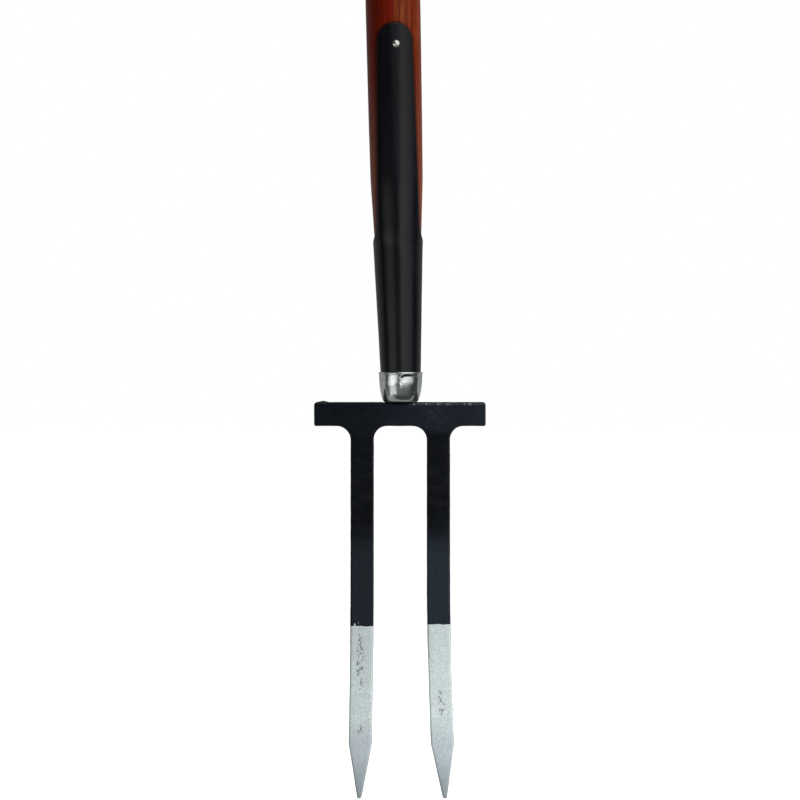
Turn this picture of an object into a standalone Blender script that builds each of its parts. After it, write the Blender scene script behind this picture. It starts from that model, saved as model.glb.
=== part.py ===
"""Border fork: a two-tined steel head, a strapped socket and a wooden shaft with a split D handle.

Metres, +Z up. The tine points rest on z = 0 and the front of the fork faces -Y.
Heights called h are measured up from the top of the crossbar, along the shaft's axis.
"""
import math

import bmesh
import bpy
from mathutils import Matrix, Vector

GAP = 0.0003                # clearance between neighbouring pieces

# Crossbar and tines
TREAD_WIDTH = 0.1200
TREAD_HEIGHT = 0.0168
TREAD_THICKNESS = 0.014
TREAD_TOP_CORNER = 0.0023
TREAD_LOWER_CORNER = 0.0010
ARRIS = 0.0012              # rounding of the edges between the faces
SEAT_WIDTH = 0.0256         # shallow seat for the collar in the crossbar's top
SEAT_DEPTH = 0.0012
TINE_LENGTH = 0.2569        # below the crossbar, measured upright
TINE_SPACING = 0.0533
TINE_CENTRE = 0.0003        # the pair of tines sits a little to the right
TINE_WIDTH = 0.0162
TINE_FILLET = 0.0095
POINT_LENGTH = 0.0375
POINT_RADIUS = 0.0016
SPLAY_START = 0.115         # how far below the crossbar each tine starts to lean outwards
SPLAY_LEFT = 0.0017
SPLAY_RIGHT = 0.0042
SPLAY_POWER = 1.6           # how late the lean sets in
BEND_START = 0.050          # how far below the crossbar the forward bend starts and ends
BEND_END = 0.135
BEND_ANGLE = math.radians(12.0)
THICKNESS_STATIONS = (      # distance below the crossbar, thickness of the tine
    (0.0095, 0.0140),
    (0.0500, 0.0116),
    (0.1350, 0.0086),
    (0.2194, 0.0062),
    (0.2569, 0.0022),
)
BEND_ROWS = 7               # rows across each tine in the bend
STRAIGHT_ROWS = (0.012, 0.024, 0.060, 0.085, 0.102)     # and in the straight end, up from the points

# Tang: a round neck welded to the seat, tapering to a spike inside the wood
NECK_RADIUS = 0.0076
NECK_TOP = 0.0214
TANG_RADIUS = 0.0060
TANG_TIP_RADIUS = 0.0030
TANG_TOP = 0.0950

# Collar: it stands upright round the leaning neck
COLLAR_ASIDE = -0.00045     # from the shaft's foot to its axis
COLLAR_BOTTOM = -0.0006
COLLAR_TOP = 0.0209
COLLAR_RIM_RADIUS = 0.01545
COLLAR_LIP_HEIGHT = 0.0014
COLLAR_LIP_STEP = 0.0002
COLLAR_KNEE_RADIUS = 0.0143
COLLAR_KNEE_HEIGHT = 0.0080
COLLAR_FOOT_RADIUS = 0.0092
COLLAR_WALL = 0.0006
COLLAR_HOLE_RADIUS = 0.0084

# Shaft
SHAFT_OFFSET = 0.0010
SHAFT_LEAN = math.radians(-1.2)
SHAFT_BOTTOM = 0.0220
SHAFT_RADIUS = 0.0192
SHOULDER_HEIGHT = 0.1170    # where the socket has opened into its straps
SHOULDER_RADIUS = 0.0165
SHAFT_STATIONS = (          # height, radius of the wood
    (SHAFT_BOTTOM, 0.0122),
    (0.0240, 0.0127),
    (0.1116, 0.0159),
    (SHOULDER_HEIGHT, SHOULDER_RADIUS),
    (0.1226, 0.01675),
    (0.1346, 0.0173),
    (0.1446, 0.0178),
    (0.1556, 0.0183),
    (0.1976, 0.01875),
    (0.2366, 0.0190),
    (0.2706, SHAFT_RADIUS),
    (0.4200, SHAFT_RADIUS),
)

# Split handle
CROTCH = 0.585
CROTCH_ROUNDING = 0.055     # height over which the flat faces of the split become round
SPREAD_TOP = 0.670          # where the arms stand upright again
SPREAD_ROWS = 12
CROWN_ROWS = 7
CROWN_TURN = math.radians(83.0)     # how far round its top each arm's crown is modelled
GRIP_HEIGHT = 0.695
ARM_INSIDE = 0.042          # from the middle to each arm's inner face at the grip
ARM_THICKNESS = 0.015
ARM_HALF_WIDTH = 0.015
ARM_SQUARENESS = 5.0        # exponent of the arm's rounded section at the grip
GRIP_RADIUS = 0.0150
GRIP_END_RADIUS = 0.0130
ROD_RADIUS = 0.0030
ROD_HEAD_RADIUS = 0.0050
ROD_HEAD_HEIGHT = 0.0020
ROD_WASHER_RADIUS = 0.0085
WASHER_THICKNESS = 0.0015
CROTCH_RIVET_HEIGHT = 0.568
CROTCH_RIVET_RADIUS = 0.0022
CROTCH_HEAD_RADIUS = 0.0040
CROTCH_HEAD_HEIGHT = 0.0017
CROTCH_WASHER_RADIUS = 0.0060
CROTCH_SEAT = 0.0180        # from the shaft's axis to the flat seat under each washer

# Socket and straps
SOCKET_WALL = 0.0012
SOCKET_BOTTOM = 0.0150
SOCKET_BOTTOM_RADIUS = 0.0139
SOCKET_MOUTH = 0.1116
SOCKET_MOUTH_RADIUS = 0.0174
SLOT_BOTTOM = 0.1120
SLOT_RISE = 0.0117          # height over which the slot widens to its full width
SLOT_ROUNDNESS = 1.25       # 1 for an ellipse, more for a bottom that is more pointed
STRAP_HALF_WIDTH_LOW = 0.0145
STRAP_HALF_WIDTH_TOP = 0.0119
STRAP_TOP = 0.2637
STRAP_TURN = math.radians(2.4)
PLUG_BOTTOM = 0.0153

# Strap rivet
RIVET_HEIGHT = 0.2492
RIVET_TURN = math.radians(4.6)
RIVET_RADIUS = 0.0017
RIVET_HEAD_RADIUS = 0.00265
RIVET_HEAD_HEIGHT = 0.0017

TREAD_BOTTOM_Z = TINE_LENGTH
TREAD_TOP_Z = TREAD_BOTTOM_Z + TREAD_HEIGHT


def clear_scene():
    """Remove every object that the file opened with."""
    for old in list(bpy.data.objects):
        bpy.data.objects.remove(old, do_unlink=True)


def new_collection(name):
    """A collection linked to the scene."""
    collection = bpy.data.collections.new(name)
    bpy.context.scene.collection.children.link(collection)
    return collection


def material(name, colour, roughness, metallic):
    """A plain Principled material."""
    made = bpy.data.materials.new(name)
    made.use_nodes = True
    shader = made.node_tree.nodes["Principled BSDF"]
    shader.inputs["Base Color"].default_value = (*colour, 1.0)
    shader.inputs["Roughness"].default_value = roughness
    shader.inputs["Metallic"].default_value = metallic
    return made


def add_object(name, mesh, collection, parent, paint=None):
    """Link a mesh as an object under its parent, with one material."""
    made = bpy.data.objects.new(name, mesh)
    collection.objects.link(made)
    made.parent = parent
    if paint:
        mesh.materials.append(paint)
    return made


def add_empty(name, collection, parent, location, lean=0.0):
    """An empty that carries pieces; lean turns it about Y."""
    empty = bpy.data.objects.new(name, None)
    collection.objects.link(empty)
    empty.parent = parent
    empty.location = location
    empty.rotation_euler.y = lean
    return empty


def arc(centre, radii, start, end, steps):
    """Points on an elliptical arc from one angle to another, in degrees."""
    points = []
    for i in range(steps + 1):
        angle = math.radians(start + (end - start) * i / steps)
        points.append((centre[0] + radii[0] * math.cos(angle), centre[1] + radii[1] * math.sin(angle)))
    return points


def between(stations, at):
    """Straight-line reading of a list of (position, value) pairs."""
    for (low, value_low), (high, value_high) in zip(stations, stations[1:]):
        if at <= high:
            share = max(0.0, (at - low) / (high - low))
            return value_low + (value_high - value_low) * share
    return stations[-1][1]


def ease(share):
    """Smooth step from 0 to 1."""
    share = min(1.0, max(0.0, share))
    return share * share * (3.0 - 2.0 * share)


def turned(name, profile, collection, parent, paint=None, steps=32, closed=False):
    """Turn a profile of (radius, height) points about Z; a closed profile makes a ring."""
    mesh = bpy.data.meshes.new(name)
    edges = [(i, i + 1) for i in range(len(profile) - 1)]
    if closed:
        edges.append((len(profile) - 1, 0))
    mesh.from_pydata([(radius, 0.0, height) for radius, height in profile], edges, [])
    made = add_object(name, mesh, collection, parent, paint)
    screw = made.modifiers.new("Turn", "SCREW")
    screw.steps = steps
    screw.render_steps = steps
    screw.use_merge_vertices = True
    screw.merge_threshold = 0.00001
    screw.use_smooth_shade = True
    return made


def outline_mesh(name, points, half_depth, rounding=0.0):
    """Extrude a closed (x, z) outline along Y, with its arrises rounded inwards."""
    curve = bpy.data.curves.new(name, "CURVE")
    curve.dimensions = "2D"
    curve.fill_mode = "BOTH"
    curve.extrude = half_depth - rounding
    curve.bevel_depth = rounding
    curve.bevel_resolution = 1
    curve.offset = -rounding
    spline = curve.splines.new("POLY")
    spline.points.add(len(points) - 1)
    spline.use_cyclic_u = True
    for point, (x, z) in zip(spline.points, points):
        point.co = (x, z, 0.0, 1.0)
    guide = bpy.data.objects.new(name, curve)
    bpy.context.scene.collection.objects.link(guide)
    bpy.context.view_layer.update()
    evaluated = guide.evaluated_get(bpy.context.evaluated_depsgraph_get())
    mesh = bpy.data.meshes.new_from_object(evaluated)
    mesh.name = name
    bpy.data.objects.remove(guide, do_unlink=True)
    bpy.data.curves.remove(curve)
    work = bmesh.new()
    work.from_mesh(mesh)
    bmesh.ops.remove_doubles(work, verts=work.verts, dist=0.000002)
    for vertex in work.verts:
        x, z, depth = vertex.co
        vertex.co = (x, -depth, z)
    bmesh.ops.recalc_face_normals(work, faces=work.faces)
    work.to_mesh(mesh)
    work.free()
    return mesh


def hide_cutter(cutter):
    """Mark an object as a cutter, which is no part of the fork."""
    cutter.hide_render = True
    cutter.display_type = "WIRE"
    return cutter


def combine(target, other, operation):
    """Join, cut or keep the target with another closed mesh."""
    step = target.modifiers.new(other.name, "BOOLEAN")
    step.object = other
    step.operation = operation
    step.solver = "EXACT"


def drill(name, radius, reach, axis, collection, parent, location, turn=0.0, sides=24):
    """A round cutter along X or Y, running the same way both sides of its middle."""
    bpy.ops.mesh.primitive_cylinder_add(vertices=sides, radius=radius, depth=2.0 * reach)
    cutter = bpy.context.object
    cutter.name = name
    for owner in list(cutter.users_collection):
        owner.objects.unlink(cutter)
    collection.objects.link(cutter)
    cutter.parent = parent
    cutter.location = location
    cutter.data.transform(Matrix.Rotation(math.pi / sides, 4, "Z"))
    if axis == "X":
        cutter.rotation_euler = (0.0, math.pi / 2.0, 0.0)
    else:
        cutter.rotation_euler = (math.pi / 2.0, 0.0, turn)
    return hide_cutter(cutter)


def double_headed(name, shank_radius, head_radius, head_height, seat, collection, parent, paint):
    """A rivet about Z with a domed head each end, whose undersides lie at plus and minus seat."""
    dome = arc((0.0, seat), (head_radius, head_height), 90.0, 0.0, 4)
    profile = dome + [(shank_radius, seat), (shank_radius, -seat)]
    profile += [(radius, -height) for radius, height in reversed(dome)]
    return turned(name, profile, collection, parent, paint, steps=20)


def washer(name, hole, radius, thickness, collection, parent, paint):
    """A flat ring about Z, its lower face at z = 0."""
    profile = [(radius, thickness), (radius, 0.0), (hole, 0.0), (hole, thickness)]
    return turned(name, profile, collection, parent, paint, steps=24, closed=True)


def right_half_of_head():
    """Outline of the head right of its middle, from the seat round the tine to the middle again."""
    top = TREAD_TOP_Z
    bottom = TREAD_BOTTOM_Z
    side = TREAD_WIDTH / 2.0
    half_seat = SEAT_WIDTH / 2.0
    middle = TINE_SPACING / 2.0
    outer = middle + TINE_WIDTH / 2.0
    inner = middle - TINE_WIDTH / 2.0
    fillet = TINE_FILLET
    corner = TREAD_TOP_CORNER
    lower = TREAD_LOWER_CORNER
    points = [(half_seat, top - SEAT_DEPTH), (half_seat, top)]
    points += arc((side - corner, top - corner), (corner, corner), 90.0, 0.0, 4)
    points += arc((side - lower, bottom + lower), (lower, lower), 0.0, -90.0, 2)
    points += arc((outer + fillet, bottom - fillet), (fillet, fillet), 90.0, 180.0, 6)
    points.append((outer, POINT_LENGTH))
    points += arc((middle, POINT_RADIUS), (POINT_RADIUS, POINT_RADIUS), -10.0, -170.0, 6)
    points.append((inner, POINT_LENGTH))
    points += arc((inner - fillet, bottom - fillet), (fillet, fillet), 0.0, 90.0, 6)
    return points


def forward_bend(drop):
    """How far a tine has come forward at a distance below the crossbar."""
    radius = (BEND_END - BEND_START) / math.sin(BEND_ANGLE)
    if drop <= BEND_START:
        return 0.0
    if drop <= BEND_END:
        return radius - math.sqrt(radius ** 2 - (drop - BEND_START) ** 2)
    return radius * (1.0 - math.cos(BEND_ANGLE)) + (drop - BEND_END) * math.tan(BEND_ANGLE)


def outward_splay(drop, right_side):
    """How far a tine leans outwards at a distance below the crossbar."""
    full = SPLAY_RIGHT if right_side else SPLAY_LEFT
    share = max(0.0, (drop - SPLAY_START) / (TINE_LENGTH - SPLAY_START))
    return full * share ** SPLAY_POWER * (1.0 if right_side else -1.0)


def shape_tines(mesh):
    """Cut rows across the tines, then thin, bend and splay them row by row."""
    work = bmesh.new()
    work.from_mesh(mesh)
    rows = [POINT_RADIUS, *STRAIGHT_ROWS]
    rows += [TREAD_BOTTOM_Z - drop for drop, _ in THICKNESS_STATIONS[:-1]]
    for i in range(1, BEND_ROWS):
        rows.append(TREAD_BOTTOM_Z - BEND_START - (BEND_END - BEND_START) * i / BEND_ROWS)
    for height in rows:
        parts = list(work.verts) + list(work.edges) + list(work.faces)
        bmesh.ops.bisect_plane(work, geom=parts, dist=0.00001, plane_co=(0, 0, height), plane_no=(0, 0, 1))
    for vertex in work.verts:
        x, y, z = vertex.co
        drop = TREAD_BOTTOM_Z - z
        if drop < TINE_FILLET:
            continue
        depth = (y + TREAD_THICKNESS / 2.0) / TREAD_THICKNESS
        front = -TREAD_THICKNESS / 2.0 - forward_bend(drop)
        vertex.co.y = front + depth * between(THICKNESS_STATIONS, drop)
        vertex.co.x = x + outward_splay(drop, x > 0.0)
    for vertex in work.verts:
        if vertex.co.z < TREAD_BOTTOM_Z - 0.0001:
            reach = min(1.0, (TREAD_BOTTOM_Z - vertex.co.z) / TINE_FILLET)
            vertex.co.x += TINE_CENTRE * reach
    work.to_mesh(mesh)
    work.free()


def build_head(parts, root):
    """Crossbar and tines from one outline."""
    right = right_half_of_head()
    left = [(-x, z) for x, z in reversed(right)]
    mesh = outline_mesh("fork_head", right + left, TREAD_THICKNESS / 2.0, ARRIS)
    shape_tines(mesh)
    paint = material("black_paint", (0.012, 0.013, 0.016), 0.45, 0.0)
    add_object("fork_head", mesh, parts, root, paint)


def build_tang(parts, shaft_frame):
    """Round neck that stands in the seat, and the spike above it."""
    foot = GAP - SEAT_DEPTH
    profile = [(0.0, TANG_TOP), (TANG_TIP_RADIUS, TANG_TOP - TANG_TIP_RADIUS), (TANG_RADIUS, NECK_TOP)]
    profile += [(NECK_RADIUS, NECK_TOP), (NECK_RADIUS, foot), (0.0, foot)]
    paint = material("forged_steel", (0.16, 0.16, 0.17), 0.55, 1.0)
    turned("tang", profile, parts, shaft_frame, paint, steps=24)


def build_collar(parts, root):
    """Chromed cup: rolled lip, tapering side, rounded knee and a hole for the neck."""
    lip = COLLAR_RIM_RADIUS - COLLAR_WALL / 2.0
    knee = COLLAR_KNEE_HEIGHT
    low = COLLAR_BOTTOM
    outer = arc((lip, COLLAR_TOP - COLLAR_WALL / 2.0), (COLLAR_WALL / 2.0, COLLAR_WALL / 2.0), 90.0, 0.0, 3)
    outer.append((COLLAR_RIM_RADIUS - COLLAR_LIP_STEP, COLLAR_TOP - COLLAR_LIP_HEIGHT))
    knee_radii = (COLLAR_KNEE_RADIUS - COLLAR_FOOT_RADIUS, knee - low)
    outer += arc((COLLAR_FOOT_RADIUS, knee), knee_radii, 0.0, -90.0, 7)
    inner = [(COLLAR_HOLE_RADIUS, low), (COLLAR_HOLE_RADIUS, low + COLLAR_WALL)]
    inner_radii = (knee_radii[0] - COLLAR_WALL, knee_radii[1] - COLLAR_WALL)
    inner += arc((COLLAR_FOOT_RADIUS, knee), inner_radii, -90.0, 0.0, 4)
    inner.append((COLLAR_RIM_RADIUS - COLLAR_WALL, COLLAR_TOP - COLLAR_WALL / 2.0))
    paint = material("chrome", (0.62, 0.64, 0.64), 0.08, 1.0)
    collar = turned("collar", outer + inner, parts, root, paint, steps=32, closed=True)
    collar.location = (SHAFT_OFFSET + COLLAR_ASIDE, 0.0, TREAD_TOP_Z)


def socket_outside(height):
    """Outer radius of the socket and straps."""
    if height >= SHOULDER_HEIGHT:
        return between(SHAFT_STATIONS, height) + GAP + SOCKET_WALL
    cone = (
        (SOCKET_BOTTOM, SOCKET_BOTTOM_RADIUS),
        (SOCKET_MOUTH, SOCKET_MOUTH_RADIUS),
        (SHOULDER_HEIGHT, SHOULDER_RADIUS + GAP + SOCKET_WALL),
    )
    return between(cone, height)


def right_half_of_straps():
    """Front outline that the socket is cut to, right of its middle, from the bottom to the top."""
    wide = 2.0 * SOCKET_MOUTH_RADIUS
    wall_middle = SOCKET_MOUTH_RADIUS + SOCKET_WALL / 4.0
    slot = math.sqrt(wall_middle ** 2 - STRAP_HALF_WIDTH_LOW ** 2)
    points = [(wide, 0.0), (wide, SLOT_BOTTOM)]
    steps = 6
    for i in range(steps + 1):
        angle = math.pi / 2.0 * i / steps
        half_slot = slot * math.sin(angle) ** SLOT_ROUNDNESS
        rise = SLOT_RISE * (1.0 - math.cos(angle) ** SLOT_ROUNDNESS)
        points.append((math.sqrt(wall_middle ** 2 - half_slot ** 2), SLOT_BOTTOM + rise))
    top = STRAP_HALF_WIDTH_TOP
    points += arc((0.0, STRAP_TOP - top), (top, top), 0.0, 90.0, 10)
    return points[:-1] + [(0.0, STRAP_TOP)]


def build_socket(parts, cutters, shaft_frame, hole):
    """Tapered socket whose upper end is cut into a front and a rear strap."""
    heights = [STRAP_TOP + GAP]
    heights += [height for height, _ in reversed(SHAFT_STATIONS) if SOCKET_MOUTH <= height < STRAP_TOP]
    heights.append(SOCKET_BOTTOM)
    outer = [(socket_outside(height), height) for height in heights]
    inner = [(radius - SOCKET_WALL, height) for radius, height in reversed(outer)]
    paint = material("satin_black", (0.010, 0.010, 0.012), 0.35, 0.0)
    socket = turned("socket", outer + inner, parts, shaft_frame, paint, steps=40, closed=True)
    socket.rotation_euler.z = STRAP_TURN
    right = right_half_of_straps()
    left = [(-x, z) for x, z in reversed(right[:-1])]
    shape = outline_mesh("strap_outline", right + left, 2.0 * SHAFT_RADIUS)
    keep = hide_cutter(add_object("strap_outline", shape, cutters, shaft_frame))
    keep.rotation_euler.z = STRAP_TURN
    combine(socket, keep, "INTERSECT")
    combine(socket, hole, "DIFFERENCE")


def build_plug(parts, shaft_frame):
    """Steel ring between the neck and the socket's lower end."""
    outer = SOCKET_BOTTOM_RADIUS - SOCKET_WALL - GAP
    inner = NECK_RADIUS + GAP
    profile = [(outer, NECK_TOP), (outer, PLUG_BOTTOM), (inner, PLUG_BOTTOM), (inner, NECK_TOP)]
    paint = material("plain_steel", (0.30, 0.30, 0.31), 0.45, 1.0)
    turned("socket_plug", profile, parts, shaft_frame, paint, steps=32, closed=True)


def rounded_cosine(angle, squareness):
    """Cosine of a superellipse, with its sign."""
    cosine = math.cos(angle)
    return math.copysign(abs(cosine) ** (2.0 / squareness), cosine)


def arm_section(height, steps_out, steps_in):
    """Closed section of the right arm: outer side from front to back, then the inner side back again."""
    share = min(1.0, max(0.0, (height - CROTCH) / (SPREAD_TOP - CROTCH)))
    spread = ease(share)
    inside = ARM_INSIDE * spread
    slope = ARM_INSIDE * 6.0 * share * (1.0 - share) / (SPREAD_TOP - CROTCH)
    thickness = SHAFT_RADIUS + (ARM_THICKNESS - SHAFT_RADIUS) * spread
    across = thickness * math.sqrt(1.0 + slope ** 2)
    half = SHAFT_RADIUS + (ARM_HALF_WIDTH - SHAFT_RADIUS) * spread
    squareness = 2.0 + (ARM_SQUARENESS - 2.0) * spread
    above = height - GRIP_HEIGHT
    if above > 0.0:
        half *= math.sqrt(max(0.0, 1.0 - (above / ARM_HALF_WIDTH) ** 2))
    bulge_in = across / 2.0 * ease((height - CROTCH) / CROTCH_ROUNDING)
    bulge_out = across - bulge_in
    middle = inside + bulge_in
    points = []
    for i in range(steps_out + 1):
        angle = math.pi * i / steps_out
        x = middle + bulge_out * math.sin(angle) ** (2.0 / squareness)
        points.append((x, -half * rounded_cosine(angle, squareness), height))
    for i in range(1, steps_in):
        angle = math.pi * i / steps_in
        x = middle - bulge_in * math.sin(angle) ** (2.0 / squareness)
        points.append((x, half * rounded_cosine(angle, squareness), height))
    return points


def skin(work, lower, upper, closed):
    """Faces between two rings of the same number of vertices."""
    count = len(lower)
    for i in range(count if closed else count - 1):
        j = (i + 1) % count
        work.faces.new((lower[i], lower[j], upper[j], upper[i]))


def half_ring(work, radius, height, steps):
    """Half circle from front to back round the right side of the axis."""
    ring = []
    for i in range(steps + 1):
        angle = math.pi * i / steps
        x = radius * math.sin(angle) if 0 < i < steps else 0.0
        ring.append(work.verts.new((x, -radius * math.cos(angle), height)))
    return ring


def shaft_half_mesh():
    """Right half of the shaft: tang bore, round shaft, then one arm of the split."""
    steps_out = 14
    steps_in = 6
    bore_low = TANG_RADIUS + GAP
    bore_high = TANG_TIP_RADIUS + GAP
    work = bmesh.new()
    apex = work.verts.new((0.0, 0.0, TANG_TOP + 4.0 * GAP))
    rings = [half_ring(work, bore_high, TANG_TOP - bore_high, steps_out)]
    rings.append(half_ring(work, bore_low, SHAFT_BOTTOM, steps_out))
    for height, radius in SHAFT_STATIONS:
        rings.append(half_ring(work, radius, height, steps_out))
    for i in range(steps_out):
        work.faces.new((apex, rings[0][i + 1], rings[0][i]))
    for lower, upper in zip(rings, rings[1:]):
        skin(work, lower, upper, closed=False)
    heights = [CROTCH + (SPREAD_TOP - CROTCH) * i / SPREAD_ROWS for i in range(SPREAD_ROWS + 1)]
    heights.append((SPREAD_TOP + GRIP_HEIGHT) / 2.0)
    for i in range(CROWN_ROWS + 1):
        angle = CROWN_TURN * i / CROWN_ROWS
        heights.append(GRIP_HEIGHT + ARM_HALF_WIDTH * math.sin(angle))
    sections = []
    for height in heights:
        sections.append([work.verts.new(point) for point in arm_section(height, steps_out, steps_in)])
    skin(work, rings[-1], sections[0][:steps_out + 1], closed=False)
    for lower, upper in zip(sections, sections[1:]):
        skin(work, lower, upper, closed=True)
    work.faces.new(sections[-1])
    for vertex in work.verts:
        if abs(vertex.co.x) < 0.000002:
            vertex.co.x = 0.0
    mesh = bpy.data.meshes.new("shaft")
    work.to_mesh(mesh)
    work.free()
    mesh.shade_smooth()
    mesh.set_sharp_from_angle(angle=math.radians(40.0))
    return mesh


def build_shaft(parts, cutters, shaft_frame, rivet_hole, rod_hole):
    """Wooden shaft with its split, bent arms, and the holes and seats for the fasteners."""
    paint = material("lacquered_wood", (0.30, 0.055, 0.018), 0.28, 0.0)
    shaft = add_object("shaft", shaft_half_mesh(), parts, shaft_frame, paint)
    mirror = shaft.modifiers.new("Both halves", "MIRROR")
    mirror.use_axis[0] = True
    mirror.merge_threshold = 0.00005
    combine(shaft, rivet_hole, "DIFFERENCE")
    combine(shaft, rod_hole, "DIFFERENCE")
    at = (0.0, 0.0, CROTCH_RIVET_HEIGHT)
    hole = drill("crotch_hole", CROTCH_RIVET_RADIUS + GAP, 0.03, "X", cutters, shaft_frame, at)
    combine(shaft, hole, "DIFFERENCE")
    reach = 0.005
    for side in (-1, 1):
        at = (side * (CROTCH_SEAT + reach), 0.0, CROTCH_RIVET_HEIGHT)
        seat = drill(f"washer_seat_{side}", CROTCH_WASHER_RADIUS + GAP, reach, "X", cutters, shaft_frame, at)
        combine(shaft, seat, "DIFFERENCE")


def build_strap_rivet(parts, shaft_frame):
    """Rivet through both straps and the wood."""
    seat = socket_outside(RIVET_HEIGHT) + GAP
    paint = material("bright_steel", (0.66, 0.65, 0.62), 0.18, 1.0)
    rivet = double_headed("strap_rivet", RIVET_RADIUS, RIVET_HEAD_RADIUS, RIVET_HEAD_HEIGHT, seat,
                          parts, shaft_frame, paint)
    rivet.location = (0.0, 0.0, RIVET_HEIGHT)
    rivet.rotation_euler = (math.pi / 2.0, 0.0, RIVET_TURN)


def build_grip(parts, shaft_frame):
    """Turned grip, the rod through it and a washer under each of the rod's heads."""
    half = ARM_INSIDE - GAP
    hole = ROD_RADIUS + GAP
    round_end = 0.002
    steps = 8
    barrel = []
    for i in range(steps + 1):
        along = (half - round_end) * (1.0 - 2.0 * i / steps)
        swell = (GRIP_RADIUS - GRIP_END_RADIUS) * math.cos(math.pi / 2.0 * along / half)
        barrel.append((GRIP_END_RADIUS + swell, along))
    end = GRIP_END_RADIUS - round_end
    profile = [(end, half)] + barrel + [(end, -half), (hole, -half), (hole, half)]
    wood = material("grip_wood", (0.32, 0.06, 0.02), 0.30, 0.0)
    steel = material("zinc_steel", (0.45, 0.46, 0.47), 0.35, 1.0)
    grip = turned("grip", profile, parts, shaft_frame, wood, steps=28, closed=True)
    washer_at = ARM_INSIDE + ARM_THICKNESS + GAP
    seat = washer_at + WASHER_THICKNESS + GAP
    rod = double_headed("grip_rod", ROD_RADIUS, ROD_HEAD_RADIUS, ROD_HEAD_HEIGHT, seat, parts, shaft_frame,
                        steel)
    for piece in (grip, rod):
        piece.location = (0.0, 0.0, GRIP_HEIGHT)
        piece.rotation_euler = (0.0, math.pi / 2.0, 0.0)
    for name, side in (("grip_washer_left", -1), ("grip_washer_right", 1)):
        ring = washer(name, hole, ROD_WASHER_RADIUS, WASHER_THICKNESS, parts, shaft_frame, steel)
        ring.location = (side * washer_at, 0.0, GRIP_HEIGHT)
        ring.rotation_euler = (0.0, side * math.pi / 2.0, 0.0)


def build_crotch_rivet(parts, shaft_frame):
    """Rivet across the top of the shaft, below the split, with a washer each side."""
    steel = material("rivet_steel", (0.42, 0.43, 0.44), 0.38, 1.0)
    washer_at = CROTCH_SEAT + GAP
    seat = washer_at + WASHER_THICKNESS + GAP
    rivet = double_headed("crotch_rivet", CROTCH_RIVET_RADIUS, CROTCH_HEAD_RADIUS, CROTCH_HEAD_HEIGHT, seat,
                          parts, shaft_frame, steel)
    rivet.location = (0.0, 0.0, CROTCH_RIVET_HEIGHT)
    rivet.rotation_euler = (0.0, math.pi / 2.0, 0.0)
    hole = CROTCH_RIVET_RADIUS + GAP
    for name, side in (("crotch_washer_left", -1), ("crotch_washer_right", 1)):
        ring = washer(name, hole, CROTCH_WASHER_RADIUS, WASHER_THICKNESS, parts, shaft_frame, steel)
        ring.location = (side * washer_at, 0.0, CROTCH_RIVET_HEIGHT)
        ring.rotation_euler = (0.0, side * math.pi / 2.0, 0.0)


def centre_on_origin(parts, root):
    """Move the whole fork so that the middle of its box lies over the origin and its points touch z = 0."""
    bpy.context.view_layer.update()
    graph = bpy.context.evaluated_depsgraph_get()
    points = []
    for piece in parts.objects:
        if piece.type == "MESH":
            evaluated = piece.evaluated_get(graph)
            points += [evaluated.matrix_world @ Vector(corner) for corner in evaluated.bound_box]
    lows = [min(point[axis] for point in points) for axis in range(3)]
    highs = [max(point[axis] for point in points) for axis in range(3)]
    root.location = (-(lows[0] + highs[0]) / 2.0, -(lows[1] + highs[1]) / 2.0, -lows[2])
    bpy.context.view_layer.update()


def main():
    """Build the fork."""
    clear_scene()
    parts = new_collection("border_fork")
    cutters = new_collection("cutters")
    root = add_empty("fork", parts, None, (0.0, 0.0, 0.0))
    shaft_frame = add_empty("shaft_frame", parts, root, (SHAFT_OFFSET, 0.0, TREAD_TOP_Z), SHAFT_LEAN)
    at = (0.0, 0.0, RIVET_HEIGHT)
    rivet_hole = drill("rivet_hole", RIVET_RADIUS + GAP, 0.03, "Y", cutters, shaft_frame, at, RIVET_TURN, 20)
    at = (0.0, 0.0, GRIP_HEIGHT)
    rod_hole = drill("rod_hole", ROD_RADIUS + GAP, 0.08, "X", cutters, shaft_frame, at)
    build_head(parts, root)
    build_tang(parts, shaft_frame)
    build_collar(parts, root)
    build_plug(parts, shaft_frame)
    build_socket(parts, cutters, shaft_frame, rivet_hole)
    build_shaft(parts, cutters, shaft_frame, rivet_hole, rod_hole)
    build_strap_rivet(parts, shaft_frame)
    build_grip(parts, shaft_frame)
    build_crotch_rivet(parts, shaft_frame)
    centre_on_origin(parts, root)


if __name__ == "__main__":
    main()
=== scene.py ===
"""Looks of the border fork: fine surfaces, finishes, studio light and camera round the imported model.

Everything is in metres. Shapes of the head use x from the middle of the crossbar and z from the points.
Shaft coordinates are (x, y, height), where height runs up the leaning shaft from the crossbar's top.
A zone is a pair of places or distances: where a change of finish begins and where it is full.
"""
import math

import bmesh
import bpy
import numpy as np
from bpy.props import FloatProperty, FloatVectorProperty, IntProperty, PointerProperty
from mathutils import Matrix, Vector


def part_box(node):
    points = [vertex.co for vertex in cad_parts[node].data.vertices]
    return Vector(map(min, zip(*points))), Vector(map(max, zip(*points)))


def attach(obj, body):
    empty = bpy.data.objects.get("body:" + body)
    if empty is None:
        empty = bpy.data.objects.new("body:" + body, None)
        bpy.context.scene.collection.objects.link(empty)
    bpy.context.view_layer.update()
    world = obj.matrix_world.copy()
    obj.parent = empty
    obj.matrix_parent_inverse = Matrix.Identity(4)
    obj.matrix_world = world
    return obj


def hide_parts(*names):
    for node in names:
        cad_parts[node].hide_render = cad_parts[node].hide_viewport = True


bl_info = {
    "name": "Border fork",
    "version": (1, 0, 0),
    "blender": (4, 5, 0),
    "location": "View3D > Sidebar > Fork",
    "description": "Builds the visible surfaces and finishes of a two-tined border fork",
    "category": "Add Mesh",
}

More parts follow.
